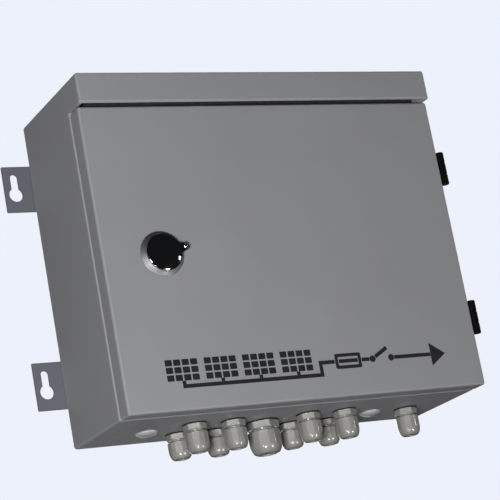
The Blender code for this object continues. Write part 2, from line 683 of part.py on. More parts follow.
def make_rail():
    """A top-hat rail, 35 mm tall and 7.5 mm deep."""
    half, crown, sheet = RAIL_HEIGHT / 2, RAIL_HEIGHT / 2 - RAIL_FLANGE, RAIL_SHEET
    upper = [
        (RAIL_FRONT_Y, half), (RAIL_FRONT_Y + sheet, half), (RAIL_FRONT_Y + sheet, crown),
        (RAIL_BACK_Y, crown),
    ]
    inner = [(RAIL_BACK_Y - sheet, crown - sheet), (RAIL_FRONT_Y, crown - sheet)]
    loop = upper + [(y, -z) for y, z in reversed(upper)] + [(y, -z) for y, z in reversed(inner)] + inner
    outline("din_rail", [loop], RAIL_LENGTH, SIDE, (0, 0, RAIL_MID_Z), "zinc_plated")


def make_case(name, x, width, nose_y, look):
    """A modular case: full height at its shoulders, 45 mm tall at its nose."""
    shoulder_y = CASE_BACK_Y - CASE_SHOULDER_DEPTH
    tall, nose = CASE_HALF_HEIGHT, CASE_NOSE_HALF_HEIGHT
    upper = [(CASE_BACK_Y, tall), (shoulder_y, tall), (shoulder_y, nose), (nose_y, nose)]
    loop = upper + [(y, -z) for y, z in reversed(upper)]
    case = outline(name, [loop], width - CASE_CLEARANCE, SIDE, (x, 0, RAIL_MID_Z), look)
    round_edges(case, CASE_EDGE, 1)
    return case


def make_fuse_switches():
    """Two-pole fuse bases, each with a carrier that tips forward about its lower edge."""
    pivot_y = FUSE_NOSE_Y - TOUCH_GAP - CARRIER_PIVOT_INSET
    pivot_z = RAIL_MID_Z - CARRIER_HEIGHT / 2 + CARRIER_PIVOT_INSET
    rear_y, front_y = FUSE_NOSE_Y - TOUCH_GAP, FUSE_NOSE_Y - CARRIER_DEPTH
    low_z, high_z = RAIL_MID_Z - CARRIER_HEIGHT / 2, RAIL_MID_Z + CARRIER_HEIGHT / 2
    heel = arc((pivot_y, pivot_z), CARRIER_PIVOT_INSET, 0, -90, 4)
    grip = [
        (front_y, low_z), (front_y, high_z - GRIP_HEIGHT), (front_y - GRIP_REACH, high_z - GRIP_HEIGHT / 2),
        (front_y - GRIP_REACH, high_z), (rear_y, high_z),
    ]
    for number in range(1, FUSE_COUNT + 1):
        x = FUSE_FIRST_X + FUSE_PITCH * (number - 1)
        make_case(f"fuse_base_{number}", x, 2 * MODULE, FUSE_NOSE_Y, "device_grey")
        name = f"fuse_carrier_{number}"
        carrier = outline(name, [heel + grip], 2 * (MODULE - CARRIER_INSET), SIDE, (x, 0, 0), "device_dark")
        round_edges(carrier, CASE_EDGE, 1)
        set_origin(carrier, (x, pivot_y, pivot_z))


def make_breaker():
    """A two-pole breaker, its toggle stored at off."""
    case = make_case("breaker_case", BREAKER_X, 2 * MODULE, BREAKER_NOSE_Y, "device_grey")
    axis = Vector((BREAKER_X, TOGGLE_AXIS_Y, RAIL_MID_Z))
    pocket_reach = Vector((TOGGLE_WIDTH / 2, 0, 0))
    pocket_ends = axis - pocket_reach, axis + pocket_reach
    cut(case, cylinder("toggle_pocket_cut", TOGGLE_RADIUS, *pocket_ends, "X"))
    drum_reach = Vector((TOGGLE_WIDTH / 2 - TOGGLE_CLEARANCE, 0, 0))
    drum_ends = axis - drum_reach, axis + drum_reach
    toggle = cylinder("breaker_toggle", TOGGLE_RADIUS - TOGGLE_CLEARANCE, *drum_ends, "X", "device_dark")
    blade = [(0, -TOGGLE_ROOT), (0, TOGGLE_ROOT), (-TOGGLE_REACH, TOGGLE_TIP), (-TOGGLE_REACH, -TOGGLE_TIP)]
    tilt = Matrix.Rotation(TOGGLE_TILT, 2)
    loop = [tuple(tilt @ Vector(point)) for point in blade]
    join(toggle, outline("toggle_blade_join", [loop], TOGGLE_BLADE_WIDTH, SIDE, axis))
    set_origin(toggle, axis)


def make_surge_protector():
    """Three plug-in modules side by side in one base."""
    case = make_case("surge_protector", SURGE_X, 3 * MODULE, SURGE_NOSE_Y, "device_grey")
    for number in (-1, 1):
        x = SURGE_X + number * MODULE / 2
        reach = CASE_NOSE_HALF_HEIGHT + OVERCUT
        low = (x - SURGE_SLOT / 2, SURGE_NOSE_Y - OVERCUT, RAIL_MID_Z - reach)
        high = (x + SURGE_SLOT / 2, SURGE_NOSE_Y + SURGE_SLOT_DEPTH, RAIL_MID_Z + reach)
        cut(case, box(f"surge_slot_{number + 1}_cut", low, high))


def make_terminals():
    """The output terminals on the left and the earth bar on the right, low on the mounting plate."""
    back_y = PLATE_FRONT_Y - TOUCH_GAP
    half, front_y = BLOCK_HALF_HEIGHT, back_y - BLOCK_DEPTH
    slope_y, slope_z = front_y + BLOCK_SLOPE[0], half - BLOCK_SLOPE[1]
    loop = [
        (back_y, -half), (back_y, half), (slope_y, half), (front_y, slope_z), (front_y, -slope_z), (slope_y, -half),
    ]
    block = outline("output_terminals", [loop], BLOCK_WIDTH, SIDE, (BLOCK_X, 0, BAR_Z), "device_dark")
    round_edges(block, CASE_EDGE, 1)
    bar_y = back_y - EARTH_FOOT_LENGTH
    low = (EARTH_BAR_ENDS[0], bar_y - EARTH_BAR_THICKNESS, BAR_Z - EARTH_BAR_HALF_HEIGHT)
    high = (EARTH_BAR_ENDS[1], bar_y, BAR_Z + EARTH_BAR_HALF_HEIGHT)
    bar = box("earth_bar", low, high, "brass")
    for side, end_x in (("left", low[0] + EARTH_FOOT_INSET), ("right", high[0] - EARTH_FOOT_INSET)):
        foot_ends = (end_x, bar_y - EARTH_BAR_THICKNESS / 2, BAR_Z), (end_x, back_y, BAR_Z)
        join(bar, cylinder(f"earth_foot_{side}_join", EARTH_FOOT_RADIUS, *foot_ends, "Y", steps=12))


def smooth_route(points, steps=4):
    """Points of a smooth curve through a route's own points."""
    places = [Vector(point) for point in points]
    padded = [2 * places[0] - places[1], *places, 2 * places[-1] - places[-2]]
    route = []
    for before, start, end, after in zip(padded, padded[1:], padded[2:], padded[3:]):
        for step in range(steps):
            t = step / steps
            bend = (2 * before - 5 * start + 4 * end - after) * t + (3 * start - before - 3 * end + after) * t * t
            route.append(start + ((end - before) + bend) * t / 2)
    return [*route, places[-1]]


def make_lead(name, points, look):
    """An insulated lead clamped at both of its ends."""
    route = smooth_route(points)
    curve = bpy.data.curves.new(name, "CURVE")
    curve.dimensions = "3D"
    curve.bevel_depth = LEAD_RADIUS
    curve.bevel_resolution = 2
    curve.use_fill_caps = True
    spline = curve.splines.new("POLY")
    spline.points.add(len(route) - 1)
    for point, place in zip(spline.points, route):
        point.co = (*place, 1)
    add_object(name, curve, look)


def make_wiring():
    """The busbars over and under the fuses, and the leads from them to the breaker and the terminals."""
    left = FUSE_FIRST_X - MODULE
    right = FUSE_FIRST_X + FUSE_PITCH * (FUSE_COUNT - 1) + MODULE
    above = RAIL_MID_Z + CASE_HALF_HEIGHT + TOUCH_GAP
    below = RAIL_MID_Z - CASE_HALF_HEIGHT - TOUCH_GAP
    for name, low_z in (("positive_busbar", above), ("negative_busbar", below - BUSBAR_HEIGHT)):
        low, high = (left, BUSBAR_BACK_Y - BUSBAR_DEPTH, low_z), (right, BUSBAR_BACK_Y, low_z + BUSBAR_HEIGHT)
        box(name, low, high, "device_dark")
    clamp_y = BUSBAR_BACK_Y - 0.004
    start_z = above + BUSBAR_HEIGHT + TOUCH_GAP
    pole_x = BREAKER_X - MODULE / 2
    positive = [
        (right - 0.012, clamp_y - 0.001, start_z), (right - 0.010, clamp_y - 0.002, start_z + 0.010),
        (right + 0.006, clamp_y - 0.004, start_z + 0.018), (pole_x, clamp_y - 0.002, start_z + 0.008),
        (pole_x, clamp_y, above),
    ]
    make_lead("positive_lead", positive, "lead_red")
    run_y, end_x, end_y = PLATE_FRONT_Y - 0.014, BLOCK_X + 0.007, PLATE_FRONT_Y - 0.012
    run_z = below - BUSBAR_HEIGHT - LEAD_RADIUS - TOUCH_GAP - 0.003
    output = [
        (pole_x, clamp_y, below), (pole_x - 0.001, clamp_y - 0.001, below - 0.007),
        (pole_x - 0.010, clamp_y - 0.001, run_z), (-0.020, clamp_y, run_z), (-0.062, run_y, run_z),
        (end_x, end_y, run_z - 0.004), (end_x, end_y, BAR_Z + BLOCK_HALF_HEIGHT + TOUCH_GAP),
    ]
    make_lead("output_lead", output, "lead_red")


clear_scene()
PIECES = make_collection("dc_combiner_box")
CUTTERS = make_collection("cutters", hidden=True)
make_enclosure()
make_door()
for hinge_place in HINGE_MIDS_Z:
    make_hinge(hinge_place)
make_ears()
for gland_number, gland in enumerate(GLANDS, 1):
    make_gland(gland_number, *gland)
for plug_number, plug_column in enumerate(PLUG_COLUMNS, 1):
    make_plug(plug_number, plug_column)
make_lock()
make_dust_cover()
make_plate()
make_rail()
make_fuse_switches()
make_breaker()
make_surge_protector()
make_terminals()
make_wiring()
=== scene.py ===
"""Looks of the DC combiner box: painted steel, moulded glands, chrome lock and the switchgear inside."""

import json
import math

import bmesh
import bpy
from mathutils import Matrix, Vector


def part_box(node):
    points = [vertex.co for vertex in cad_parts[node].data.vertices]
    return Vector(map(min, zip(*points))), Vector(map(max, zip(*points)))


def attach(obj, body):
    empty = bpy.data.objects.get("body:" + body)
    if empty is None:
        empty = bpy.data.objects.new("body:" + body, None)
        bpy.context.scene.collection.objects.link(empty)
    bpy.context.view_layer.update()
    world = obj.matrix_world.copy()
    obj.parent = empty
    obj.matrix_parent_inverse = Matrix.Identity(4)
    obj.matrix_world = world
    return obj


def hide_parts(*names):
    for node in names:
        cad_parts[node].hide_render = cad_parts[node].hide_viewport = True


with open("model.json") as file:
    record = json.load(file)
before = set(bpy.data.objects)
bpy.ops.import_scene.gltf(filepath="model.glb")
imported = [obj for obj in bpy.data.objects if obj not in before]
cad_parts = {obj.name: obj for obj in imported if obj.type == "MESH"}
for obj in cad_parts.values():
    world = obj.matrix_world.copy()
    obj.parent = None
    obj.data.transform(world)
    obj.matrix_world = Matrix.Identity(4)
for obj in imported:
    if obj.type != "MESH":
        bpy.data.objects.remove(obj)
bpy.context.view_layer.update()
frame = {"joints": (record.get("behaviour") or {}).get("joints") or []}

# The view
CAMERA_AZIMUTH = math.radians(-28.276)
CAMERA_ELEVATION = math.radians(-14.664)
CAMERA_ROLL = math.radians(-10.573)
CAMERA_TARGET = Vector((-0.0253, -0.1093, -0.0079))
CAMERA_DISTANCE = 1.7912
CAMERA_LENS = 146.96
BACKDROP_COLOUR = (0.847, 0.880, 0.965)
AMBIENT_COLOUR = (0.30, 0.30, 0.31)
AMBIENT_STRENGTH = 0.10
KEY_POWER = 22.3
FLOOR_Z = -2.6
GLANDS = (0, -0.06, -0.2)
BOX_MIDDLE = (0, -0.06, 0)

# Dimensions, with the frame's own boxes first
BODY_LOW, BODY_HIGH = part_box("enclosure_body")
DOOR_LOW, DOOR_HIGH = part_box("door_panel")
SHEET = 0.0015
DOOR_REAR_GAP = 0.001
DOOR_TOP_GAP = 0.0012
RIM_Y = DOOR_HIGH.y + DOOR_REAR_GAP
HOOD_UNDER_Z = DOOR_HIGH.z + DOOR_TOP_GAP
# Thickness of the black sheet inside the hood, which is painted shade
HOOD_SHADE_SHEET_THICKNESS = 0.0020
LIP_INSET = 0.014
LIP_REACH = 0.012
LIP_CORNER = 0.006
HOOD_WALL_EXTRA = 0.0004
BEND_RADIUS = 0.0023
BEND_STEPS = 5
KEYHOLE_RADIUS, KEYHOLE_NECK = 0.0064, 0.0035
JOINTS = {joint["name"]: joint for joint in frame["joints"]}
GLAND_NUMBERS = range(1, 11)
LARGE_GLAND = 9
# A gland's nut radius, thread radius, flange height and cable bore radius
GLAND_SIZES = (0.0103, 0.0076, 0.0050, 0.0042)
LARGE_GLAND_SIZES = (0.0146, 0.0112, 0.0060, 0.0068)
ENTRY_RADIUS, LARGE_ENTRY_RADIUS = 0.0080, 0.0116
PLUG_NUMBERS = (1, 2)
FUSE_NUMBERS = range(1, 5)
LEAD_RADIUS = 0.0022
MODULE_NOSE_HALF, MODULE_SHOULDER = 0.0225, 0.034
SIDE = Matrix(((0, 0, 1), (1, 0, 0), (0, 1, 0))).to_4x4()
FRONT = Matrix(((1, 0, 0), (0, 0, -1), (0, 1, 0))).to_4x4()
PLAN = Matrix.Identity(4)
TO_DOOR_FRONT = Matrix.Rotation(math.pi / 2, 4, "X")
TO_WALL = Matrix.Rotation(-math.pi / 2, 4, "X")


# Materials

# The usual range of a noise's values
NOISE_LOW, NOISE_HIGH = 0.3, 0.7


def fill(node, values):
    """Set a node's own sockets to plain values."""
    for socket, value in values.items():
        node.inputs[socket].default_value = value


class Look:
    """A Principled material with the few node helpers that the looks below share."""

    def __init__(self, name, colour, roughness, metallic=0.0):
        self.material = bpy.data.materials.new(name)
        self.material.use_nodes = True
        self.nodes = self.material.node_tree.nodes
        self.links = self.material.node_tree.links
        self.shader = self.nodes["Principled BSDF"]
        fill(self.shader, {"Base Color": (*colour, 1), "Roughness": roughness, "Metallic": metallic})
        self.colour = colour
        self.place = self.nodes.new("ShaderNodeTexCoord").outputs["Object"]

    def noise(self, scale, detail, stretch=None):
        texture = self.nodes.new("ShaderNodeTexNoise")
        fill(texture, {"Scale": scale, "Detail": detail})
        source = self.place
        if stretch:
            mapping = self.nodes.new("ShaderNodeMapping")
            fill(mapping, {"Scale": stretch})
            self.links.new(source, mapping.inputs["Vector"])
            source = mapping.outputs["Vector"]
        self.links.new(source, texture.inputs["Vector"])
        return texture.outputs["Fac"]

    def tint(self, noise, darker, lighter):
        """The base colour, made darker and lighter by a noise."""
        ramp = self.nodes.new("ShaderNodeValToRGB")
        ramp.color_ramp.elements[0].position = NOISE_LOW
        ramp.color_ramp.elements[1].position = NOISE_HIGH
        for element, share in zip(ramp.color_ramp.elements, (darker, lighter)):
            element.color = (*(min(1.0, share * part) for part in self.colour), 1)
        self.links.new(self.noise(*noise), ramp.inputs["Fac"])
        self.links.new(ramp.outputs["Color"], self.shader.inputs["Base Color"])

    def rough(self, noise, low, high):
        """A roughness between low and high, set by a noise."""
        mapper = self.nodes.new("ShaderNodeMapRange")
        fill(mapper, {"From Min": NOISE_LOW, "From Max": NOISE_HIGH, "To Min": low, "To Max": high})
        self.links.new(self.noise(*noise), mapper.inputs["Value"])
        self.links.new(mapper.outputs["Result"], self.shader.inputs["Roughness"])

    def bump(self, noise, depth, strength):
        """Relief of a given depth in metres, laid over any relief made before it."""
        bump = self.nodes.new("ShaderNodeBump")
        fill(bump, {"Distance": depth, "Strength": strength})
        self.links.new(self.noise(*noise), bump.inputs["Height"])
        normal = self.shader.inputs["Normal"]
        if normal.is_linked:
            self.links.new(normal.links[0].from_socket, bump.inputs["Normal"])
        self.links.new(bump.outputs["Normal"], normal)


def powder_coat(name, colour, roughness=0.57, grain=1.0, shine=0.5):
    """Sprayed and baked powder: a fine pebble over a slow orange peel, and a faint cloud in its tone."""
    look = Look(name, colour, roughness)
    look.tint((9, 4), 0.965, 1.03)
    look.rough((60, 3), roughness - 0.05, roughness + 0.06)
    look.bump((260, 2), 0.00006 * grain, 0.5)
    look.bump((1500, 2), 0.00003 * grain, 0.6)
    fill(look.shader, {"Specular IOR Level": shine})
    return look.material


def moulded(name, colour, roughness=0.42, grain=1.0, gloss=0.0):
    """Injection-moulded nylon: spark-eroded grain, faint flow marks and a soft or glossy sheen."""
    look = Look(name, colour, roughness)
    look.tint((55, 3), 0.96, 1.03)
    look.rough((130, 2), roughness - 0.05, roughness + 0.07)
    look.bump((2200, 2), 0.00002 * grain, 0.5)
    look.bump((120, 1), 0.00003 * grain, 0.4)
    fill(look.shader, {"Specular IOR Level": 0.55, "Coat Weight": gloss, "Coat Roughness": 0.13})
    return look.material


def rubber(name, colour, roughness=0.75, cells=900):
    """Soft seal: small open cells and a dusty, uneven sheen."""
    look = Look(name, colour, roughness)
    look.tint((180, 3), 0.75, 1.35)
    look.rough((90, 2), roughness - 0.1, min(1.0, roughness + 0.12))
    look.bump((cells, 3), 0.00008, 0.6)
    return look.material


def polished(name, colour, roughness):
    """Plated and buffed casting: faint haze, hairlines and fingerprints."""
    look = Look(name, colour, roughness, 1.0)
    look.tint((140, 3), 0.9, 1.06)
    look.rough((320, 4), max(0.02, roughness - 0.03), roughness + 0.05)
    look.bump((90, 2), 0.00001, 0.25)
    return look.material


def plated(name, colour, roughness, stretch, scale=300):
    """Zinc-plated steel with the lines of its rolling or turning and a mottled tone."""
    look = Look(name, colour, roughness, 1.0)
    look.tint((28, 4), 0.82, 1.1)
    look.rough((scale, 3, stretch), roughness - 0.1, roughness + 0.12)
    look.bump((scale, 3, stretch), 0.00002, 0.35)
    return look.material


def ink(name):
    """Screen-printed ink: dense and matt, with a soft edge-to-edge mottling."""
    look = Look(name, (0.008, 0.008, 0.009), 0.6)
    look.tint((200, 3), 0.6, 1.6)
    look.rough((400, 2), 0.55, 0.68)
    fill(look.shader, {"Specular IOR Level": 0.3})
    look.bump((1500, 2), 0.00002, 0.4)
    return look.material


def lens(name, colour):
    """A small moulded window or lamp lens."""
    look = Look(name, colour, 0.18)
    look.tint((300, 2), 0.85, 1.15)
    look.rough((500, 2), 0.12, 0.26)
    fill(look.shader, {"Coat Weight": 0.4})
    return look.material


PAINT = (0.335, 0.337, 0.352)
# The ears' colour: a darker, bluer copy of the enclosure's paint, a painted shade.
EAR_SHADED_PAINT = (0.150, 0.156, 0.180)
LOOKS = {
    "paint": powder_coat("enclosure_paint", PAINT),
    # The ears' powder coat is the enclosure's paint darkened, a painted shade.
    "ear": powder_coat("ear_painted_shade", EAR_SHADED_PAINT),
    "hinge": powder_coat("hinge_black", (0.0015, 0.0015, 0.002), 0.66, 0.7, shine=0.08),
    "gland": moulded("gland_plastic", (0.300, 0.295, 0.275), 0.42, gloss=0.9),
    "plug": moulded("plug_plastic", (0.50, 0.50, 0.51), 0.38, gloss=0.3),
    "rubber": rubber("gasket_rubber", (0.012, 0.012, 0.013)),
    # The foam look also colours the black sheet inside the hood, which is painted shade.
    "foam": rubber("gasket_foam", (0.035, 0.035, 0.037), 0.88, 1400),
    "seal": rubber("gland_seal", (0.05, 0.05, 0.05), 0.6),
    # The dust cover's chrome is darkened, a painted dark reflection.
    "cover": polished("cover_chrome_painted_dark_reflection", (0.20, 0.205, 0.215), 0.07),
    "chrome": polished("chrome", (0.55, 0.56, 0.58), 0.12),
    "satin": polished("satin_nickel", (0.20, 0.20, 0.21), 0.52),
    "zinc": plated("zinc_plated", (0.56, 0.57, 0.58), 0.42, (1, 1, 1)),
    "plate": plated("plate_zinc", (0.42, 0.43, 0.44), 0.56, (1, 1, 9), 160),
    "rail": plated("rail_zinc", (0.60, 0.61, 0.62), 0.30, (0.2, 8, 8), 260),
    "turned": plated("turned_steel", (0.50, 0.50, 0.51), 0.30, (1, 1, 1), 700),
    "case": moulded("device_grey", (0.60, 0.60, 0.58), 0.46),
    "dark": moulded("device_dark", (0.045, 0.046, 0.050), 0.42),
    "module": moulded("device_module", (0.10, 0.11, 0.13), 0.44),
    "toggle": moulded("toggle_black", (0.018, 0.018, 0.019), 0.35),
    "brass": plated("brass", (0.72, 0.53, 0.24), 0.28, (0.3, 6, 6), 300),
    "red": rubber("lead_red", (0.42, 0.025, 0.018), 0.42, 300),
    "ink": ink("print_ink"),
    "lamp": lens("lamp_lens", (0.55, 0.05, 0.03)),
    "window": lens("window_green", (0.05, 0.36, 0.12)),
}


# Mesh helpers


def link(name, data):
    obj = bpy.data.objects.new(name, data)
    bpy.context.scene.collection.objects.link(obj)
    return obj


def link_bmesh(name, shape):
    mesh = bpy.data.meshes.new(name)
    shape.to_mesh(mesh)
    shape.free()
    return link(name, mesh)


def settle(obj):
    """Apply an object's modifiers and place to its mesh."""
    bpy.context.view_layer.update()
    evaluated = obj.evaluated_get(bpy.context.evaluated_depsgraph_get())
    mesh = bpy.data.meshes.new_from_object(evaluated)
    mesh.transform(obj.matrix_world)
    name, old = obj.name, obj.data
    bpy.data.objects.remove(obj)
    (bpy.data.curves if isinstance(old, bpy.types.Curve) else bpy.data.meshes).remove(old)
    shape = bmesh.new()
    shape.from_mesh(mesh)
    bmesh.ops.remove_doubles(shape, verts=shape.verts, dist=1e-6)
    bmesh.ops.recalc_face_normals(shape, faces=shape.faces)
    shape.to_mesh(mesh)
    shape.free()
    return link(name, mesh)


def place_at(x, y, z, turn=PLAN):
    return Matrix.Translation((x, y, z)) @ turn


def mirrored(points):
    """Points followed by their own mirror image, in reverse, across the first coordinate's axis."""
    return points + [(y, -z) for y, z in reversed(points)]


def box(name, low, high):
    shape = bmesh.new()
    bmesh.ops.create_cube(shape, size=1)
    bmesh.ops.scale(shape, vec=[b - a for a, b in zip(low, high)], verts=shape.verts)
    bmesh.ops.translate(shape, vec=[(a + b) / 2 for a, b in zip(low, high)], verts=shape.verts)
    return link_bmesh(name, shape)


def slab(name, x, half, low, high):
    """A box to both sides of a place along X, from a low to a high (y, z)."""
    return box(name, (x - half, *low), (x + half, *high))


def turned(name, profile, steps=48, at=PLAN):
    """A profile of (radius, height) points turned round its Z axis, from the top of its outer side down."""
    mesh = bpy.data.meshes.new(name)
    edges = [(i, i + 1) for i in range(len(profile) - 1)]
    if profile[0][0] > 0 or profile[-1][0] > 0:
        edges.append((len(profile) - 1, 0))
    mesh.from_pydata([(r, 0, z) for r, z in profile], edges, [])
    obj = link(name, mesh)
    screw = obj.modifiers.new("turn", "SCREW")
    screw.steps = screw.render_steps = steps
    screw.use_merge_vertices = True
    screw.merge_threshold = 0.00001
    obj.matrix_world = at
    return settle(obj)


def ring_profile(bore, radius, low, high, chamfer, drop=None):
    """Half a ring's section, its rims chamfered by a width and, where it differs, a drop."""
    drop = chamfer if drop is None else drop
    return [
        (bore, high), (radius - chamfer, high), (radius, high - drop), (radius, low + drop),
        (radius - chamfer, low), (bore, low),
    ]


def rod(name, radius, length, at=PLAN, chamfer=0.0002, steps=32):
    """A cylinder standing on its place along its own Z axis, its rims chamfered."""
    return turned(name, ring_profile(0, radius, 0, length, chamfer), steps, at)


def outline(name, loops, thickness, turn, offset=(0, 0, 0)):
    """A flat outline, with any further loops as its holes or islands, made a plate."""
    curve = bpy.data.curves.new(name, "CURVE")
    curve.dimensions = "2D"
    curve.fill_mode = "BOTH"
    curve.extrude = thickness / 2
    for points in loops:
        spline = curve.splines.new("POLY")
        spline.points.add(len(points) - 1)
        spline.use_cyclic_u = True
        for point, place in zip(spline.points, points):
            point.co = (*place, 0, 1)
    obj = link(name, curve)
    obj.matrix_world = Matrix.Translation(offset) @ turn
    return settle(obj)


def combine(obj, other, operation):
    boolean = obj.modifiers.new(operation.lower(), "BOOLEAN")
    boolean.object = other
    boolean.operation = operation
    boolean.solver = "EXACT"
    obj = settle(obj)
    bpy.data.objects.remove(other)
    return obj


def cut(obj, *others):
    for other in others:
        obj = combine(obj, other, "DIFFERENCE")
    return obj


def join(obj, *others):
    for other in others:
        obj = combine(obj, other, "UNION")
    return obj


def merge(name, *others):
    """Separate shapes kept as one piece's mesh."""
    shape = bmesh.new()
    for other in others:
        shape.from_mesh(other.data)
        bpy.data.objects.remove(other)
    return link_bmesh(name, shape)


def bevel(obj, width, segments=3, angle=35):
    modifier = obj.modifiers.new("edges", "BEVEL")
    modifier.width = width
    modifier.segments = segments
    modifier.limit_method = "ANGLE"
    modifier.angle_limit = math.radians(angle)
    return settle(obj)


def arc(centre, radius, start, end, steps):
    turns = [math.radians(start + (end - start) * i / steps) for i in range(steps + 1)]
    return [(centre[0] + radius * math.cos(t), centre[1] + radius * math.sin(t)) for t in turns]


def circle(centre, radius, steps=32):
    return arc(centre, radius, 0, 360 - 360 / steps, steps - 1)


def rounded(low, high, radius, steps=6):
    """A rectangle with round corners."""
    corners = [
        ((high[0] - radius, high[1] - radius), 0),
        ((low[0] + radius, high[1] - radius), 90),
        ((low[0] + radius, low[1] + radius), 180),
        ((high[0] - radius, low[1] + radius), 270),
    ]
    return [point for middle, start in corners for point in arc(middle, radius, start, start + 90, steps)]


def show(obj, look, *nodes, body="enclosure", sharp=32):
    """Finish a piece: its shading, material, body and the CAD nodes it stands for."""
    obj.data.shade_smooth()
    obj.data.set_sharp_from_angle(angle=math.radians(sharp))
    weighted = obj.modifiers.new("flat_faces", "WEIGHTED_NORMAL")
    weighted.keep_sharp = True
    obj.data.materials.clear()
    obj.data.materials.append(LOOKS[look])
    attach(obj, body)
    if nodes:
        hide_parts(*nodes)
    return obj


# Enclosure and door


def lip_loop(inset):
    reach = LIP_INSET + inset
    low = (DOOR_LOW.x + reach, DOOR_LOW.z + reach)
    high = (DOOR_HIGH.x - reach, DOOR_HIGH.z - reach)
    return rounded(low, high, LIP_CORNER - inset)


def entries():
    """The centre and wall-hole radius of each gland and blanking plug."""
    for number in GLAND_NUMBERS:
        low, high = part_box(f"gland_{number}_body")
        yield (low + high) / 2, LARGE_ENTRY_RADIUS if number == LARGE_GLAND else ENTRY_RADIUS
    for number in PLUG_NUMBERS:
        low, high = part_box(f"blanking_plug_{number}")
        yield (low + high) / 2, ENTRY_RADIUS


def make_enclosure():
    """The shell with its rain hood, open underneath, and the rain lip round the door's opening."""
    profile = [
        (BODY_HIGH.y, BODY_LOW.z), (BODY_HIGH.y, BODY_HIGH.z), (BODY_LOW.y, BODY_HIGH.z),
        (BODY_LOW.y, HOOD_UNDER_Z), (RIM_Y, HOOD_UNDER_Z), (RIM_Y, BODY_LOW.z),
    ]
    width = BODY_HIGH.x - BODY_LOW.x
    shell = bevel(outline("enclosure_shell", [profile], width, SIDE), BEND_RADIUS, BEND_STEPS)
    wall = Vector((SHEET, SHEET, SHEET))
    inner_low, inner_high = BODY_LOW + wall, BODY_HIGH - wall
    inside = box("inside", (inner_low.x, RIM_Y + SHEET, inner_low.z), inner_high)
    inside = bevel(inside, BEND_RADIUS - SHEET, 2)
    hem = BEND_RADIUS + HOOD_WALL_EXTRA
    hollow_low = (BODY_LOW.x + hem, BODY_LOW.y + SHEET + HOOD_WALL_EXTRA, HOOD_UNDER_Z - 0.005)
    hollow = box("hood_hollow", hollow_low, (BODY_HIGH.x - hem, RIM_Y - 0.0003, inner_high.z))
    opening = outline("opening", [lip_loop(SHEET / 2)], 0.01, FRONT, (0, RIM_Y, 0))
    lip_middle = (0, RIM_Y + SHEET - (LIP_REACH + SHEET) / 2, 0)
    lip = outline("lip", [lip_loop(0), lip_loop(SHEET)], LIP_REACH + SHEET, FRONT, lip_middle)
    shell = join(cut(shell, opening, inside, hollow), lip)
    for number, (centre, radius) in enumerate(entries()):
        place = place_at(centre.x, centre.y, BODY_LOW.z - 0.005)
        shell = cut(shell, rod(f"entry_{number}", radius, 0.011, place, steps=48))
    show(shell, "paint", "enclosure_body")


def make_hood_painted_shade():
    """A black sheet on the wall inside the hood, a painted shade that darkens the gap over the door."""
    end = BEND_RADIUS + 0.001
    low = (BODY_LOW.x + end, RIM_Y - HOOD_SHADE_SHEET_THICKNESS, HOOD_UNDER_Z + 0.0002)
    high = (BODY_HIGH.x - end, RIM_Y - 0.0004, BODY_HIGH.z - SHEET - 0.0010)
    show(bevel(box("hood_painted_shade", low, high), 0.0003, 2), "foam")


def make_door():
    panel = bevel(box("door_skin", DOOR_LOW, DOOR_HIGH), BEND_RADIUS, BEND_STEPS)
    hollow_low = DOOR_LOW + Vector((SHEET, SHEET, SHEET))
    hollow_high = Vector((DOOR_HIGH.x - SHEET, DOOR_HIGH.y + 0.01, DOOR_HIGH.z - SHEET))
    lock = lock_centre()
    place = place_at(lock.x, DOOR_LOW.y + 0.005, lock.z, TO_DOOR_FRONT)
    panel = cut(panel, box("door_hollow", hollow_low, hollow_high), rod("lock_hole", 0.0112, 0.012, place))
    show(panel, "paint", "door_panel", body="door")


def make_gasket():
    """The foamed seal, domed across its width, in the door."""
    low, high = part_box("door_gasket")
    half = 0.0045
    loops = [lip_loop(-half), lip_loop(half)]
    middle = (0, (low.y + high.y) / 2, 0)
    gasket = bevel(outline("door_seal", loops, high.y - low.y, FRONT, middle), 0.0028, 4, 60)
    show(gasket, "foam", "door_gasket", body="door")


def make_ears():
    """Wall ears with keyholes, each held by two countersunk screws from behind."""
    for upright in ("upper", "lower"):
        for side, sign in (("left", -1), ("right", 1)):
            name = f"ear_{upright}_{side}"
            low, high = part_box(name)
            mid_z, thickness = (low.z + high.z) / 2, high.y - low.y
            x = sign * (BODY_HIGH.x + 0.0162)
            meet = math.degrees(math.acos(KEYHOLE_NECK / KEYHOLE_RADIUS))
            hole = arc((x, mid_z - 0.0051), KEYHOLE_RADIUS, 180 - meet, 360 + meet, 36)
            hole += arc((x, mid_z + 0.0107), KEYHOLE_NECK, 0, 180, 16)
            loops = [rounded((low.x, low.z), (high.x, high.z), 0.0005, 3), hole]
            plate = outline(f"{name}_plate", loops, thickness, FRONT, (0, (low.y + high.y) / 2, 0))
            plate = bevel(plate, 0.00035, 2, 50)
            for number, rise in enumerate((-0.012, 0.012)):
                point = (sign * (BODY_HIGH.x - 0.011), high.y, mid_z + rise)
                place = Matrix.Translation(point) @ TO_WALL
                sink = [(0, 0.001), (0.0049, 0.001), (0.0049, 0), (0.0032, -0.0016), (0, -0.0016)]
                plate = cut(plate, turned("sink", sink, 40, place))
                head = [(0, -0.0002), (0.0045, -0.0002), (0.0047, -0.0004), (0.0032, -0.0018), (0, -0.0018)]
                screw = turned(f"{name}_screw_{number}", head, 40, place)
                show(cross_recess(screw, place, 0.0022, -0.0002), "zinc")
            # The ears take the darkened copy of the paint, a painted shade.
            show(plate, "ear", name)


def cross_recess(screw, place, reach, top):
    """A cross recess cut in a screw's head."""
    for turn in (0, math.pi / 2):
        blade = box("blade", (-reach, -0.00035, top - 0.0009), (reach, 0.00035, top + 0.002))
        blade.matrix_world = place @ Matrix.Rotation(turn + 0.4, 4, "Z")
        screw = cut(screw, blade)
    return screw


# Hinges


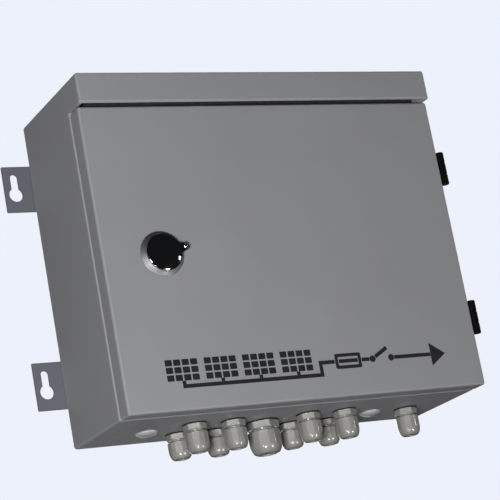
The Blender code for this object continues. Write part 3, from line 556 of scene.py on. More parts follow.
def make_hinge(upright):
    body_low, body_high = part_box(f"hinge_{upright}_body_leaf")
    door_low, door_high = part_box(f"hinge_{upright}_door_leaf")
    pin_low, pin_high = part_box(f"hinge_{upright}_pin")
    axis_x, axis_y = (pin_low.x + pin_high.x) / 2, (pin_low.y + pin_high.y) / 2
    leaf_high_x = body_low.x + 0.0022
    radius = body_high.x - axis_x
    bore = 0.0022

    def knuckle(name, low_z, high_z):
        profile = ring_profile(bore, radius, low_z, high_z, 0.0005)
        return turned(name, profile, 40, place_at(axis_x, axis_y, 0))

    def bored(piece):
        return cut(piece, rod("bore", bore, 0.05, place_at(axis_x, axis_y, body_low.z - 0.009)))

    gap, trim = 0.0003, 0.0001
    back_x, front_y = body_low.x + gap, RIM_Y + 0.0015
    leaf_loop = [
        (body_high.y, body_low.z), (body_high.y, body_high.z), (axis_y, body_high.z),
        (axis_y, door_high.z + gap), (front_y, door_high.z + gap), (front_y, door_low.z - gap),
        (axis_y, door_low.z - gap), (axis_y, body_low.z),
    ]
    middle = ((leaf_high_x + back_x) / 2, 0, 0)
    plate = outline(f"hinge_{upright}_fixed", [leaf_loop], leaf_high_x - back_x, SIDE, middle)
    plate = bevel(plate, 0.0005, 2, 50)
    pad = box("pad", (body_low.x, front_y + 0.001, body_low.z + 0.001),
              (back_x + 0.0005, body_high.y - 0.001, body_high.z - 0.001))
    plate = bored(join(plate, pad))
    top = knuckle("top_knuckle", door_high.z + gap + trim, body_high.z - trim)
    base = knuckle("base_knuckle", body_low.z + trim, door_low.z - gap - trim)
    plate = join(plate, top, base)
    show(plate, "hinge", f"hinge_{upright}_body_leaf")

    leaf_low, leaf_high = (door_low.x, axis_y, door_low.z), (leaf_high_x, door_high.y, door_high.z)
    leaf = bored(bevel(box(f"hinge_{upright}_moving", leaf_low, leaf_high), 0.0005, 2, 50))
    leaf = join(leaf, knuckle("door_knuckle", door_low.z, door_high.z))
    show(leaf, "hinge", f"hinge_{upright}_door_leaf", body="door")

    pin_place = place_at(axis_x, axis_y, pin_low.z)
    pin = rod(f"hinge_{upright}_spindle", pin_high.x - axis_x, pin_high.z - pin_low.z, pin_place, 0.0004)
    show(pin, "turned", f"hinge_{upright}_pin")

    outward = Matrix.Rotation(math.pi / 2, 4, "Y")
    mid_z = (body_low.z + body_high.z) / 2
    spots = [
        ("enclosure", RIM_Y + 0.016, mid_z + 0.009, 0.0034),
        ("enclosure", RIM_Y + 0.016, mid_z - 0.009, 0.0034),
        ("door", RIM_Y - 0.0075, mid_z, 0.0030),
    ]
    for number, (body, y, z, size) in enumerate(spots):
        dome = [
            (0, 0.0016), (size * 0.5, 0.0014), (size * 0.85, 0.0009), (size, 0.0001), (size, -0.0003),
            (0, -0.0003),
        ]
        place = place_at(leaf_high_x, y, z) @ outward
        screw = turned(f"hinge_{upright}_screw_{number}", dome, 32, place)
        show(cross_recess(screw, place, 0.0016, 0.0014), "hinge", body=body)


# Lock


def lock_centre():
    low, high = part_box("lock_nut")
    return (low + high) / 2


def make_lock():
    low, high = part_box("lock_housing")
    centre = lock_centre()
    pivot = Vector(JOINTS["dust_cover_swing"]["pos_m"])
    at_face = place_at(centre.x, high.y, centre.z, TO_DOOR_FRONT)
    length, collar, crown, thread, root, bore = high.y - low.y, 0.0200, 0.0152, 0.0108, 0.0102, 0.0073
    face = high.y - DOOR_LOW.y + 0.0003
    profile = [
        (bore, length - 0.0008), (bore + 0.0008, length), (crown - 0.0006, length),
        (crown, length - 0.0004), (crown + 0.0004, length - 0.0017), (crown + 0.0018, length - 0.0029),
        (collar - 0.0008, face + 0.0013), (collar, face + 0.0008), (collar, face + 0.0002),
        (collar - 0.0002, face), (thread, face),
    ]
    thread_end, pitch = 0.001, 0.0012
    z = face - 0.0016
    while z > thread_end:
        profile += [(thread, z), (root, z - pitch / 2)]
        z -= pitch
    profile += [(root, 0), (bore, 0)]
    housing = turned("lock_collar", profile, 72, at_face)
    boss_place = place_at(pivot.x, low.y + 0.005, pivot.z, TO_DOOR_FRONT)
    boss = rod("boss", 0.0034, 0.005, boss_place, 0.0003)
    tip = (pivot.xz - centre.xz).normalized()
    side = Vector((-tip.y, tip.x)) * 0.0031
    near, far = centre.xz + tip * 0.0135, pivot.xz
    web = [near - side * 1.5, far - side, far + side, near + side * 1.5]
    neck = outline("neck", [web], 0.0048, FRONT, (0, low.y + 0.0025, 0))
    show(join(housing, neck, boss), "satin", "lock_housing", body="door")

    core_low, core_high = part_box("lock_core")
    core_place = place_at(centre.x, core_high.y, centre.z, TO_DOOR_FRONT)
    core = rod("lock_plug", 0.0070, core_high.y - core_low.y, core_place, 0.0005, 48)
    slot_low, slot_high = (core_low.y - 0.001, centre.z - 0.0042), (core_low.y + 0.008, centre.z + 0.0042)
    core = cut(core, slab("keyway", centre.x, 0.0011, slot_low, slot_high))
    show(core, "zinc", "lock_core", body="lock_core")

    cam_low, cam_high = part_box("lock_cam")
    half = (cam_high.x - cam_low.x) / 2
    end = (centre.x, cam_low.z + half)
    blade = arc((centre.x, centre.z), half, 0, 180, 20) + arc(end, half, 180, 360, 20)
    middle = (0, (cam_low.y + cam_high.y) / 2, 0)
    cam = bevel(outline("cam_blade", [blade], cam_high.y - cam_low.y, FRONT, middle), 0.0003, 2, 60)
    show(cam, "zinc", "lock_cam", body="lock_core")
    bolt_place = place_at(centre.x, cam_high.y, centre.z, TO_WALL)
    bolt = [(0, 0.0034), (0.0048, 0.0034), (0.0055, 0.0028), (0.0055, 0.0001), (0, 0.0001)]
    bolt = turned("cam_bolt", bolt, 6, bolt_place)
    washer = rod("cam_washer", 0.0064, 0.0006, bolt_place, 0.0001)
    show(merge("cam_fixing", bolt, washer), "zinc", body="lock_core")

    nut_low, nut_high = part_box("lock_nut")
    place = place_at(centre.x, nut_low.y, centre.z, TO_WALL)
    size = nut_high.y - nut_low.y
    nut = turned("lock_hexagon", ring_profile(0.0111, 0.0162, 0, size, 0.0015, 0.0010), 72, place)
    hexagon = rod("flats", 0.0155, size + 0.002, place @ place_at(0, 0, -0.001), 0.00001, 6)
    show(combine(nut, hexagon, "INTERSECT"), "zinc", "lock_nut", body="door")

    make_dust_cover(centre, pivot)


def make_dust_cover(centre, pivot):
    """A dished cap with a rolled rim and an ear on its rivet."""
    low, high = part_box("lock_dust_cover")
    place = place_at(centre.x, high.y, centre.z, TO_DOOR_FRONT)
    rise = high.y - low.y
    radius = 0.0164
    rim = [(radius - 0.0004, 0.0011), (radius, 0.0007), (radius, 0.0003), (radius - 0.0003, 0.0)]
    dome = []
    for step in range(11):
        share = step / 11
        dome.append((radius * 0.965 * share, 0.0011 + (rise - 0.0011) * (1 - share ** 2.3)))
    cover = turned("dust_cap", [*dome, *rim, (0, 0)], 96, place)
    tip = (pivot.xz - centre.xz).normalized()
    heading = math.degrees(math.atan2(tip.y, tip.x))
    tab = arc((pivot.x, pivot.z), 0.0034, heading - 90, heading + 90, 16)
    side = Vector((-tip.y, tip.x))
    near = centre.xz + tip * 0.0138
    tab += [near + side * 0.0052, near - side * 0.0052]
    ear = bevel(outline("cap_ear", [tab], 0.0013, FRONT, (0, high.y - 0.00065, 0)), 0.0003, 2, 50)
    cover = join(cover, ear)
    hole = rod("hole", 0.0014, 0.01, place_at(pivot.x, high.y + 0.004, pivot.z, TO_DOOR_FRONT))
    # The cover takes the darkened chrome, a painted dark reflection.
    show(cut(cover, hole), "cover", "lock_dust_cover", body="dust_cover")
    rivet_low, rivet_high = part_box("lock_cover_rivet")
    length = rivet_high.y - rivet_low.y
    head = [(0, length), (0.0010, length - 0.0001), (0.0018, length - 0.0005), (0.0023, length - 0.0010)]
    head += [(0.0023, length - 0.0011), (0.0013, length - 0.0011), (0.0013, 0), (0, 0)]
    place = place_at(pivot.x, rivet_high.y, pivot.z, TO_DOOR_FRONT)
    show(turned("cap_rivet", head, 32, place), "chrome", "lock_cover_rivet", body="door")


# Cable entries


def hexagonal(name, flats, ring, at):
    """A turned ring trimmed to a hexagon with a flat across X."""
    length = max(z for _, z in ring) - min(z for _, z in ring)
    base = place_at(0, 0, min(z for _, z in ring) - 0.001)
    turn = Matrix.Rotation(math.radians(30), 4, "Z")
    trim = rod("trim", flats / math.sqrt(3), length + 0.002, at @ base @ turn, 0.00001, 6)
    return combine(turned(name, ring, 72, at), trim, "INTERSECT")


def make_gland(number):
    """Flanged body, gasket, neck, domed nut, seal and the locknut inside."""
    body_low, body_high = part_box(f"gland_{number}_body")
    cap_low, cap_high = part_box(f"gland_{number}_cap")
    x, y = (body_low.x + body_high.x) / 2, (body_low.y + body_high.y) / 2
    flats = body_high.x - body_low.x
    radius, thread, flange, bore = LARGE_GLAND_SIZES if number == LARGE_GLAND else GLAND_SIZES
    top = BODY_LOW.z - 0.0012
    at = place_at(x, y, 0)
    corner = flats / math.sqrt(3)
    rim, edge = corner * 0.97, 0.0007
    ring = [
        (0, top), (rim - 0.0003, top), (rim, top - 0.0003), (rim, top - flange + edge * 1.4),
        (rim - edge * 0.6, top - flange + edge * 0.4), (rim - edge * 1.7, top - flange), (0, top - flange),
    ]
    body = bevel(hexagonal(f"gland_{number}_flange", flats, ring, at), 0.0006, 3, 40)
    neck_top, neck_low = top - flange + 0.001, cap_high.z + 0.0003
    ring_low = top - flange - 0.0003
    neck = [
        (0, neck_top), (radius * 0.94, neck_top), (radius * 0.94, ring_low + 0.0001),
        (radius * 0.93, ring_low), (radius * 0.68, ring_low), (radius * 0.68, neck_low), (0, neck_low),
    ]
    neck_piece = turned("neck", neck, 48, at)
    screw = [(0, body_high.z), (thread - 0.0008, body_high.z)]
    z = body_high.z - 0.0003
    while z > BODY_LOW.z + 0.0016:
        screw += [(thread, z - 0.0004), (thread - 0.0006, z - 0.0008)]
        z -= 0.0012
    screw += [(thread - 0.0004, BODY_LOW.z + 0.001), (thread - 0.0004, top - 0.001), (0, top - 0.001)]
    body = join(body, neck_piece, turned("thread", screw, 48, at))
    show(body, "gland", f"gland_{number}_body")

    under = BODY_LOW.z - 0.0001
    gasket = ring_profile(thread + 0.0006, corner + 0.0001, under - 0.0010, under, 0.0004, 0.0003)
    show(turned(f"gland_{number}_gasket", gasket, 48, at), "rubber")

    height = cap_high.z - cap_low.z
    end_radius, bend = radius * 0.60, height * 0.48
    dome = [
        (end_radius + (radius - end_radius) * math.cos(t), cap_low.z + bend * (1 - math.sin(t)))
        for t in (math.radians(9 * step) for step in range(11))
    ]
    cap_ring = [
        (0, cap_high.z), (radius * 0.86, cap_high.z), (radius * 0.95, cap_high.z - 0.0004),
        (radius, cap_high.z - 0.0012), *dome,
        (bore + 0.0006, cap_low.z), (bore, cap_low.z + 0.0006), (bore, cap_low.z + 0.0055),
        (0, cap_low.z + 0.0055),
    ]
    cap = hexagonal(f"gland_{number}_nut", radius * 2 * 0.96, cap_ring, at)
    cap = bevel(cap, 0.0010, 4, 15)
    show(cap, "gland", f"gland_{number}_cap", sharp=50)

    foot = cap_low.z
    seal = [
        (0, foot + 0.0052), (bore - 0.0002, foot + 0.0052), (bore - 0.0002, foot + 0.0020),
        (bore - 0.0012, foot + 0.0016), (bore * 0.5, foot + 0.0017), (bore * 0.4, foot + 0.0026),
        (0, foot + 0.0028),
    ]
    show(turned(f"gland_{number}_seal", seal, 40, at), "seal")

    nut_low = BODY_LOW.z + SHEET + 0.0001
    nut_high, nut_corner = nut_low + 0.0046, corner * 1.02
    ring = [
        (thread + 0.0002, nut_high), (nut_corner - 0.0012, nut_high), (nut_corner, nut_high - 0.0008),
        (nut_corner, nut_low), (thread + 0.0002, nut_low),
    ]
    nut = hexagonal(f"gland_{number}_locknut", flats * 1.02, ring, at)
    show(nut, "gland")


def make_plug(number):
    low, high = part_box(f"blanking_plug_{number}")
    centre = (low + high) / 2
    radius, rise = (high.x - low.x) / 2, BODY_LOW.z - 0.0003 - low.z
    crown = [(radius * math.cos(t), -rise * math.sin(t)) for t in (math.radians(6 * s) for s in range(16))]
    head, neck = high.z - BODY_LOW.z, 0.0071
    profile = [
        (0, head), (0.0064, head), (0.0079, 0.0026), (neck, 0.0018), (neck, 0.0), (radius - 0.0003, 0.0),
        *crown[1:-1], (0, -rise),
    ]
    button = turned(f"entry_button_{number}", profile, 64, place_at(centre.x, centre.y, BODY_LOW.z - 0.0003))
    show(button, "plug", f"blanking_plug_{number}")


# Switchgear


def make_plate():
    """The mounting plate on its standoffs, held by flanged nuts."""
    low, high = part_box("mounting_plate")
    front = low.y
    loops = [rounded((low.x, low.z), (high.x, high.z), 0.003)]
    plate = bevel(outline("gear_plate", loops, 0.002, FRONT, (0, front + 0.001, 0)), 0.0003, 2, 60)
    inset = 0.012
    corners = [(x, z) for x in (low.x + inset, high.x - inset) for z in (low.z + inset, high.z - inset)]
    for number, (x, z) in enumerate(corners):
        post = [(0, 0.0093), (0.0052, 0.0093), (0.0060, 0.0085), (0.0060, -0.0005), (0, -0.0005)]
        at = place_at(x, front + 0.001, z, TO_WALL)
        plate = join(plate, turned(f"post_{number}", post, 32, at))
        ring = [(0, 0.0052), (0.0052, 0.0052), (0.0057, 0.0046), (0.0057, 0.0012), (0, 0.0012)]
        place = place_at(x, front, z, TO_DOOR_FRONT)
        nut = hexagonal("nut", 0.0098, ring, place)
        washer = rod("washer", 0.0068, 0.0014, place, 0.0003, 40)
        stud = rod("stud", 0.0029, 0.0074, place, 0.0005, 24)
        show(merge(f"plate_nut_{number}", nut, washer, stud), "zinc")
    show(plate, "plate", "mounting_plate")


def make_rail():
    """A slotted top-hat rail with bent corners."""
    low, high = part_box("din_rail")
    sheet, crown = 0.001, 0.0135
    middle = (low.z + high.z) / 2
    half = (high.z - low.z) / 2
    upper = [(low.y, half), (low.y + sheet, half), (low.y + sheet, crown), (high.y, crown)]
    inner = [(high.y - sheet, crown - sheet), (low.y, crown - sheet)]
    loop = mirrored(upper) + [(y, -z) for y, z in reversed(inner)] + inner
    rail = bevel(outline("top_hat_rail", [loop], high.x - low.x, SIDE, (0, 0, middle)), 0.0003, 2, 60)
    slots = []
    x = low.x + 0.0125
    while x < high.x - 0.006:
        slots.append(rounded((x - 0.0075, middle - 0.0031), (x + 0.0075, middle + 0.0031), 0.0030, 5))
        x += 0.025
    rail = cut(rail, outline("slots", slots, 0.01, FRONT, (0, high.y, 0)))
    show(rail, "rail", "din_rail")


def screw_head(name, place, radius, height=0.0018):
    """A domed screw head with a slot and cross."""
    head = [
        (0, height), (radius * 0.6, height * 0.93), (radius * 0.9, height * 0.62),
        (radius, height * 0.2), (radius, -0.0003), (0, -0.0003),
    ]
    return cross_recess(turned(name, head, 28, place), place, radius * 0.62, height)


def module_case(name, node, poles):
    """A modular case with stepped shoulders, seams, clamp wells and wire entries, and its screws."""
    low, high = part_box(node)
    middle_x, middle_z = (low.x + high.x) / 2, (low.z + high.z) / 2
    tall = (high.z - low.z) / 2
    front, back, nose_half = low.y, high.y, MODULE_NOSE_HALF
    shoulder_y = back - MODULE_SHOULDER
    upper = [
        (back, tall - 0.004), (back - 0.004, tall), (shoulder_y + 0.002, tall), (shoulder_y, tall - 0.002),
        (shoulder_y, nose_half + 0.0035), (shoulder_y - 0.003, nose_half), (front, nose_half),
    ]
    profile = outline(name, [mirrored(upper)], high.x - low.x, SIDE, (middle_x, 0, middle_z))
    case = bevel(profile, 0.0006, 2, 40)
    pitch = (high.x - low.x) / poles
    screws = []
    for pole in range(poles):
        x = low.x + pitch * (pole + 0.5)
        for sign in (-1, 1):
            well_z = middle_z + sign * (nose_half + tall) / 2
            place = place_at(x, shoulder_y, well_z, TO_DOOR_FRONT)
            case = cut(case, rod("well", 0.0036, 0.012, place @ place_at(0, 0, -0.007), 0.0001))
            screws.append(screw_head("clamp", place @ place_at(0, 0, -0.0066), 0.0031))
            entry_low = (shoulder_y + 0.0075, middle_z + sign * tall - 0.010)
            entry_high = (shoulder_y + 0.0165, middle_z + sign * tall + 0.010)
            case = cut(case, bevel(slab("entry", x, 0.0042, entry_low, entry_high), 0.002, 3))
        if pole:
            depth = 0.001
            for y, foot, head in (
                (front, -nose_half + 0.001, nose_half - 0.001),
                (shoulder_y, nose_half + 0.0045, tall - 0.003),
                (shoulder_y, -tall + 0.003, -nose_half - 0.0045),
            ):
                ends = (y - depth, middle_z + foot), (y + depth, middle_z + head)
                case = cut(case, slab("seam", low.x + pitch * pole, 0.0003, *ends))
    show(merge(f"{name}_screws", *screws), "zinc")
    return case


def make_fuse_switch(number):
    base = module_case(f"fuse_holder_{number}", f"fuse_base_{number}", 2)
    show(base, "case", f"fuse_base_{number}")
    body = f"fuse_carrier_{number}"
    low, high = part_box(body)
    pivot = Vector(JOINTS[f"{body}_tip"]["pos_m"])
    middle_x = (low.x + high.x) / 2
    heel = arc((pivot.y, pivot.z), pivot.z - low.z, 0, -90, 8)
    grip = [
        (low.y + 0.0065, low.z), (low.y + 0.006, low.z + 0.0006), (low.y + 0.006, high.z - 0.0165),
        (low.y + 0.0054, high.z - 0.0150), (low.y + 0.0006, high.z - 0.0082), (low.y, high.z - 0.0070),
        (low.y, high.z - 0.0010), (low.y + 0.0010, high.z), (high.y, high.z),
    ]
    carrier = outline(f"fuse_drawer_{number}", [heel + grip], high.x - low.x, SIDE, (middle_x, 0, 0))
    carrier = bevel(carrier, 0.0007, 3, 30)
    for step in range(3):
        z = high.z - 0.0022 - 0.0020 * step
        groove_low = (low.x + 0.003, low.y - 0.001, z - 0.0005)
        groove_high = (high.x - 0.003, low.y + 0.0005, z + 0.0005)
        carrier = cut(carrier, box("groove", groove_low, groove_high))
    seam_low, seam_high = (low.y - 0.001, low.z - 0.001), (low.y + 0.0066, high.z + 0.001)
    carrier = cut(carrier, slab("seam", middle_x, 0.0003, seam_low, seam_high))
    show(carrier, "module", body, body=body)
    lamps = []
    for side in (-1, 1):
        x = middle_x + side * (high.x - low.x) / 4
        place = place_at(x, low.y + 0.0061, low.z + 0.0065, TO_DOOR_FRONT)
        dome = [(0, 0.0010), (0.0011, 0.0008), (0.0017, 0.0003), (0.0017, -0.0004), (0, -0.0004)]
        lamps.append(turned("lamp", dome, 24, place))
    show(merge(f"fuse_lamp_{number}", *lamps), "lamp", body=body)


def make_breaker():
    low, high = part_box("breaker_case")
    pivot = Vector(JOINTS["breaker_toggle_throw"]["pos_m"])
    case = module_case("breaker_housing", "breaker_case", 2)
    toggle_low, toggle_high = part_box("breaker_toggle")
    half = (toggle_high.x - toggle_low.x) / 2 + 0.0005
    along = Matrix.Rotation(math.pi / 2, 4, "Y")
    pocket_place = place_at(pivot.x - half, pivot.y, pivot.z) @ along
    case = cut(case, rod("pocket", 0.0070, 2 * half, pocket_place, 0.0001, 64))
    show(case, "case", "breaker_case")
    pane_low, pane_high = (low.y - 0.0003, pivot.z - 0.0178), (low.y + 0.0010, pivot.z - 0.0132)
    show(bevel(slab("breaker_window", pivot.x, 0.004, pane_low, pane_high), 0.0003, 2), "window")

    drum_place = place_at(toggle_low.x, pivot.y, pivot.z) @ along
    drum = rod("breaker_handle", 0.0064, toggle_high.x - toggle_low.x, drum_place, 0.0003, 64)
    width = toggle_high.x - toggle_low.x - 0.004
    reach = 0.0168
    blade = [
        (0.0, -0.0023), (0.0, 0.0023), (-reach * 0.9, 0.0014), (-reach, 0.0007), (-reach, -0.0012),
        (-reach * 0.93, -0.0016),
    ]
    tilt = Matrix.Rotation(math.radians(40), 2)
    loop = [tilt @ Vector(point) for point in blade]
    lever = bevel(outline("lever", [loop], width, SIDE, pivot), 0.0005, 3, 30)
    show(join(drum, lever), "toggle", "breaker_toggle", body="breaker_toggle")


def make_surge_protector():
    low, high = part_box("surge_protector")
    case = module_case("surge_arrester", "surge_protector", 3)
    middle_z, third = (low.z + high.z) / 2, (high.x - low.x) / 3
    fronts, windows = [], []
    for number in range(3):
        x = low.x + third * (number + 0.5)
        plug = box("plug", (x - third / 2 + 0.0009, low.y - 0.0006, middle_z - 0.0205),
                   (x + third / 2 - 0.0009, low.y + 0.004, middle_z + 0.0205))
        plug = bevel(plug, 0.0006, 3)
        foot, head, half = middle_z + 0.0088, middle_z + 0.0132, 0.0034
        recess = slab("recess", x, half, (low.y - 0.002, foot), (low.y + 0.0002, head))
        for step in range(4):
            z = middle_z - 0.0125 - 0.0018 * step
            plug = cut(plug, slab("rib", x, 0.005, (low.y - 0.002, z), (low.y - 0.0001, z + 0.0008)))
        fronts.append(cut(plug, recess))
        flag = slab("flag", x, half, (low.y - 0.0003, foot), (low.y + 0.0008, head))
        windows.append(bevel(flag, 0.0002, 2))
    show(case, "case", "surge_protector")
    show(merge("surge_modules", *fronts), "module")
    show(merge("surge_windows", *windows), "window")


def make_terminals():
    low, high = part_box("output_terminals")
    middle = (low + high) / 2
    loop = [
        (high.y, low.z), (high.y, high.z), (high.y - 0.020, high.z), (low.y + 0.001, high.z - 0.0095),
        (low.y, high.z - 0.0105), (low.y, low.z + 0.0105), (low.y + 0.001, low.z + 0.0095),
        (high.y - 0.020, low.z),
    ]
    block = bevel(outline("output_block", [loop], high.x - low.x, SIDE, (middle.x, 0, 0)), 0.0006, 2, 30)
    screws = []
    for sign in (-1, 1):
        x = middle.x + sign * (high.x - low.x) / 4
        place = place_at(x, low.y, middle.z, TO_DOOR_FRONT)
        block = cut(block, rod("well", 0.0052, 0.014, place @ place_at(0, 0, -0.008), 0.0001, 40))
        screws.append(screw_head("clamp", place @ place_at(0, 0, -0.0076), 0.0046, 0.0026))
        for side in (-1, 1):
            way = place_at(x, high.y - 0.0117, middle.z + side * 0.0105)
            turn = Matrix.Rotation(0 if side > 0 else math.pi, 4, "X")
            if sign < 0 or side < 0:
                block = cut(block, rod("way", 0.0042, 0.012, way @ turn, 0.0001, 32))
    slit_low, slit_high = (low.y - 0.001, low.z - 0.001), (low.y + 0.0015, high.z + 0.001)
    slit = slab("slit", middle.x, 0.0005, slit_low, slit_high)
    show(cut(block, slit), "dark", "output_terminals")
    show(merge("output_screws", *screws), "zinc")


def make_earth_bar():
    low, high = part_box("earth_bar")
    front, height = low.y, high.z - low.z
    middle_z = (low.z + high.z) / 2
    bar = bevel(box("earth_strip", (low.x, front, low.z), (high.x, front + 0.009, high.z)), 0.0006, 2)
    screws, count = [], 8
    for number in range(count):
        x = low.x + (high.x - low.x) * (number + 0.5) / count
        place = place_at(x, front, middle_z, TO_DOOR_FRONT)
        screws.append(screw_head("clamp", place, 0.0029, 0.0022))
        way = place_at(x, front + 0.005, low.z - 0.001)
        bar = cut(bar, rod("way", 0.0024, height + 0.002, way, 0.0001, 24))
    for x in (low.x + 0.008, high.x - 0.008):
        foot = [(0, 0.0138), (0.0040, 0.0138), (0.0040, 0.0020), (0.0052, 0.0), (0, 0.0)]
        place = place_at(x, high.y, middle_z, TO_DOOR_FRONT)
        bar = join(bar, turned("foot", foot, 28, place))
    show(bar, "brass", "earth_bar")
    show(merge("earth_screws", *screws), "zinc")


def make_busbar(polarity):
    """A comb busbar in its insulating cover, with a ridge along it and a slit over each fuse."""
    low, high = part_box(f"{polarity}_busbar")
    cover = bevel(box(f"{polarity}_comb", low, high), 0.0008, 3)
    middle_z = (low.z + high.z) / 2
    cover = join(cover, bevel(box("ridge", (low.x + 0.004, low.y - 0.0006, middle_z - 0.0012),
                                  (high.x - 0.004, low.y + 0.001, middle_z + 0.0012)), 0.0004, 2))
    pitch = (high.x - low.x) / 8
    for number in range(1, 8):
        ends = (low.y - 0.002, low.z - 0.001), (low.y + 0.0004, high.z + 0.001)
        cover = cut(cover, slab("notch", low.x + pitch * number, 0.0004, *ends))
    show(cover, "dark", f"{polarity}_busbar")


def smooth_route(points, steps=8):
    """Points of a smooth curve through a route's own points."""
    places = [Vector(point) for point in points]
    padded = [2 * places[0] - places[1], *places, 2 * places[-1] - places[-2]]
    route = []
    for before, start, end, after in zip(padded, padded[1:], padded[2:], padded[3:]):
        for step in range(steps):
            t = step / steps
            bend = (2 * before - 5 * start + 4 * end - after) * t
            bend += (3 * start - before - 3 * end + after) * t * t
            route.append(start + ((end - before) + bend) * t / 2)
    return [*route, places[-1]]


def tube(name, route, radius):
    curve = bpy.data.curves.new(name, "CURVE")
    curve.dimensions = "3D"
    curve.bevel_depth = radius
    curve.bevel_resolution = 6
    curve.use_fill_caps = True
    spline = curve.splines.new("POLY")
    spline.points.add(len(route) - 1)
    for point, place in zip(spline.points, route):
        point.co = (*place, 1)
    return settle(link(name, curve))


def make_leads():
    """Insulated leads with a crimped sleeve at each end."""
    upper_low, upper_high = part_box("positive_busbar")
    lower_low, lower_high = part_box("negative_busbar")
    case_low, case_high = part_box("breaker_case")
    plate_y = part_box("mounting_plate")[0].y
    block_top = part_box("output_terminals")[1].z + 0.0003
    bar_y = upper_high.y - 0.002
    pole_x = (case_low.x + case_high.x) / 2 - 0.0088
    rise, right = upper_high.z + 0.0003, upper_high.x
    run = lower_low.z - 0.0055
    positive = [
        (right - 0.012, bar_y - 0.003, rise), (right - 0.010, bar_y - 0.004, rise + 0.010),
        (right + 0.006, bar_y - 0.006, rise + 0.018), (pole_x, bar_y - 0.004, rise + 0.008),
        (pole_x, bar_y - 0.002, upper_low.z),
    ]
    output = [
        (pole_x, bar_y - 0.002, lower_high.z), (pole_x - 0.001, bar_y - 0.003, lower_high.z - 0.007),
        (pole_x - 0.010, bar_y - 0.003, run), (-0.020, bar_y - 0.002, run),
        (-0.062, plate_y - 0.014, run), (-0.073, plate_y - 0.012, run - 0.004),
        (-0.073, plate_y - 0.012, block_top),
    ]
    for name, points in (("positive", positive), ("output", output)):
        route = smooth_route(points)
        wire = tube(f"{name}_wire", route, LEAD_RADIUS)
        for end, towards in ((0, 3), (-1, -4)):
            start, inner = route[end], route[towards]
            shares = [start + (inner - start) * 0.02, start + (inner - start) * 0.5, inner]
            wire = join(wire, tube("sleeve", shares, LEAD_RADIUS + 0.00025))
        show(wire, "red", f"{name}_lead")


# Printed diagram


def make_diagram():
    """Four solar panels on a line through a fuse and a switch to an arrow, printed on the door."""
    start_x, end_x = -0.135, 0.139
    middle_z, half = DOOR_LOW.z + 0.0315, 0.0125
    weight, gap, dot = 0.0034, 0.0013, 0.0030
    pitch, panel_width, panel_height = 0.0362, 0.0300, 0.0185

    def bar(x_from, z_from, x_to, z_to):
        return [(x_from, z_from), (x_to, z_from), (x_to, z_to), (x_from, z_to)]

    def line(x_from, x_to):
        return bar(x_from, middle_z - weight / 2, x_to, middle_z + weight / 2)

    def ring(x_from, x_to, rise, radius, steps):
        return rounded((x_from, middle_z - rise), (x_to, middle_z + rise), radius, steps)

    marks = []
    line_z, panel_foot = middle_z - half + weight / 2, middle_z + half - panel_height
    cell_width, cell_height = (panel_width - 3 * gap) / 4, (panel_height - 2 * gap) / 3
    for number in range(4):
        x = start_x + pitch * number
        for column in range(4):
            for row in range(3):
                left = x + column * (cell_width + gap)
                foot = panel_foot + row * (cell_height + gap)
                marks.append(rounded((left, foot), (left + cell_width, foot + cell_height), 0.0006, 2))
        stub_x, stub_foot = x + panel_width / 2, line_z + weight / 2 + 0.00005
        marks.append(bar(stub_x - weight / 2, stub_foot, stub_x + weight / 2, panel_foot - 0.00005))
    first_x, riser_x = start_x + panel_width / 2 - weight / 2, start_x + 4 * pitch
    fuse_x = riser_x + 0.0165
    switch_x = fuse_x + 0.0265
    slope = Vector((0.0165, 0.0095)).normalized()
    side = Vector((-slope.y, slope.x)) * weight / 2
    hinge_end = Vector((switch_x + 0.0112, middle_z)) + slope * 0.0033
    blade_end = hinge_end + slope * 0.0150
    marks += [
        [
            (first_x, line_z - weight / 2), (riser_x + weight, line_z - weight / 2),
            (riser_x + weight, middle_z - weight / 2), (riser_x + 0.016, middle_z - weight / 2),
            (riser_x + 0.016, middle_z + weight / 2), (riser_x, middle_z + weight / 2),
            (riser_x, line_z + weight / 2), (first_x, line_z + weight / 2),
        ],
        ring(fuse_x, fuse_x + 0.026, 0.0068, 0.0018, 4),
        ring(fuse_x + 0.0030, fuse_x + 0.023, 0.0038, 0.0008, 3),
        line(fuse_x + 0.0035, fuse_x + 0.0225),
        line(switch_x, switch_x + 0.0080),
        circle((switch_x + 0.0112, middle_z), dot),
        [hinge_end - side, blade_end - side, blade_end + side, hinge_end + side],
        circle((switch_x + 0.0300, middle_z), dot),
        line(switch_x + 0.0332, end_x - 0.0155),
        [(end_x - 0.0153, middle_z - 0.0105), (end_x, middle_z), (end_x - 0.0153, middle_z + 0.0105)],
    ]
    diagram = outline("door_diagram", marks, 0.00016, FRONT, (0, DOOR_LOW.y + 0.00002, 0))
    show(diagram, "ink", body="door")


# Stage


def aim(obj, target, roll=0.0):
    """Point an object's -Z axis at a target, turned about that axis by a roll."""
    forward = (Vector(target) - obj.location).normalized()
    right = forward.cross(Vector((0, 0, 1))).normalized()
    up = right.cross(forward)
    rolled_right = math.cos(roll) * right + math.sin(roll) * up
    rolled_up = -math.sin(roll) * right + math.cos(roll) * up
    turn = Matrix((rolled_right, rolled_up, -forward)).transposed()
    obj.rotation_mode = "QUATERNION"
    obj.rotation_quaternion = turn.to_quaternion()


def make_camera():
    data = bpy.data.cameras.new("view")
    data.lens = CAMERA_LENS
    data.sensor_width = 36
    data.clip_end = 100
    camera = link("camera", data)
    cos_e = math.cos(CAMERA_ELEVATION)
    back = Vector((
        math.sin(CAMERA_AZIMUTH) * cos_e, -math.cos(CAMERA_AZIMUTH) * cos_e, math.sin(CAMERA_ELEVATION),
    ))
    camera.location = CAMERA_TARGET + back * CAMERA_DISTANCE
    aim(camera, CAMERA_TARGET, CAMERA_ROLL)
    bpy.context.scene.camera = camera


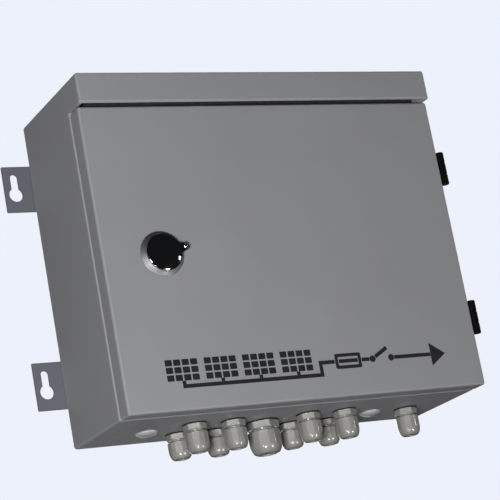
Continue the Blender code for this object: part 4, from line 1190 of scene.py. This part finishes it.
def make_light(name, place, size, power, target=BOX_MIDDLE, glint=False, fill=False):
    """A soft box, a glint that only shows in reflections, or a fill that shows in none."""
    data = bpy.data.lights.new(name, "AREA")
    data.shape = "RECTANGLE"
    data.size, data.size_y = size
    data.energy = power
    lamp = link(name, data)
    lamp.location = place
    lamp.visible_diffuse = not glint
    lamp.visible_glossy = not fill
    aim(lamp, target)


def make_world():
    """A dark studio that the camera sees as a pale backdrop."""
    world = bpy.data.worlds.new("studio")
    bpy.context.scene.world = world
    world.use_nodes = True
    nodes, links = world.node_tree.nodes, world.node_tree.links
    nodes.clear()
    path = nodes.new("ShaderNodeLightPath")
    mix = nodes.new("ShaderNodeMixShader")
    links.new(path.outputs["Is Camera Ray"], mix.inputs["Fac"])
    shades = (AMBIENT_COLOUR, AMBIENT_STRENGTH), (BACKDROP_COLOUR, 1)
    for socket, (colour, strength) in zip(mix.inputs[1:], shades):
        shade = nodes.new("ShaderNodeBackground")
        fill(shade, {"Color": (*colour, 1), "Strength": strength})
        links.new(shade.outputs["Background"], socket)
    output = nodes.new("ShaderNodeOutputWorld")
    links.new(mix.outputs["Shader"], output.inputs["Surface"])


def make_floor():
    shape = bmesh.new()
    bmesh.ops.create_grid(shape, x_segments=1, y_segments=1, size=40)
    bmesh.ops.translate(shape, vec=(0, 0, FLOOR_Z), verts=shape.verts)
    floor = link_bmesh("floor", shape)
    look = Look("studio_floor", (0.80, 0.80, 0.80), 0.9)
    fill(look.shader, {"Emission Color": (*BACKDROP_COLOUR, 1), "Emission Strength": 0.9})
    floor.data.materials.append(look.material)
    floor.visible_diffuse = floor.visible_glossy = floor.visible_shadow = False


def make_stage():
    make_camera()
    make_world()
    make_floor()
    make_light("key", (-0.98, -1.42, -0.47), (0.35, 0.35), KEY_POWER)
    make_light("table_fill", (-0.2, -0.4, -1.7), (1.2, 1.2), 2.6)
    make_light("right_fill", (1.8, -0.22, 0.12), (0.9, 1.2), 9, fill=True)
    make_light("right_back_fill", (1.5, 0.9, 0.25), (1.2, 1.2), 12, fill=True)
    make_light("top_fill", (0.2, 0.5, 1.9), (1.4, 1.4), 16)
    make_light("back_fill", (0.5, 1.9, 0.3), (1.4, 1.4), 16)
    make_light("left_glint", (-0.73, -1.37, -1.00), (0.24, 0.24), 9, GLANDS, glint=True)
    make_light("right_glint", (0.58, -1.47, -0.90), (0.24, 0.24), 11, GLANDS, glint=True)
    make_light("side_glint", (1.55, -1.20, 0.05), (0.16, 0.22), 2.0, glint=True)
    settings = bpy.context.scene.view_settings
    settings.view_transform = "Standard"
    settings.look = "None"


make_enclosure()
# A black sheet inside the hood: painted shade over the door's top gap
make_hood_painted_shade()
make_door()
make_gasket()
make_ears()
for hinge in ("upper", "lower"):
    make_hinge(hinge)
make_lock()
for gland in GLAND_NUMBERS:
    make_gland(gland)
for plug in PLUG_NUMBERS:
    make_plug(plug)
make_plate()
make_rail()
for fuse in FUSE_NUMBERS:
    make_fuse_switch(fuse)
make_breaker()
make_surge_protector()
make_terminals()
make_earth_bar()
for polarity in ("positive", "negative"):
    make_busbar(polarity)
make_leads()
make_diagram()
make_stage()
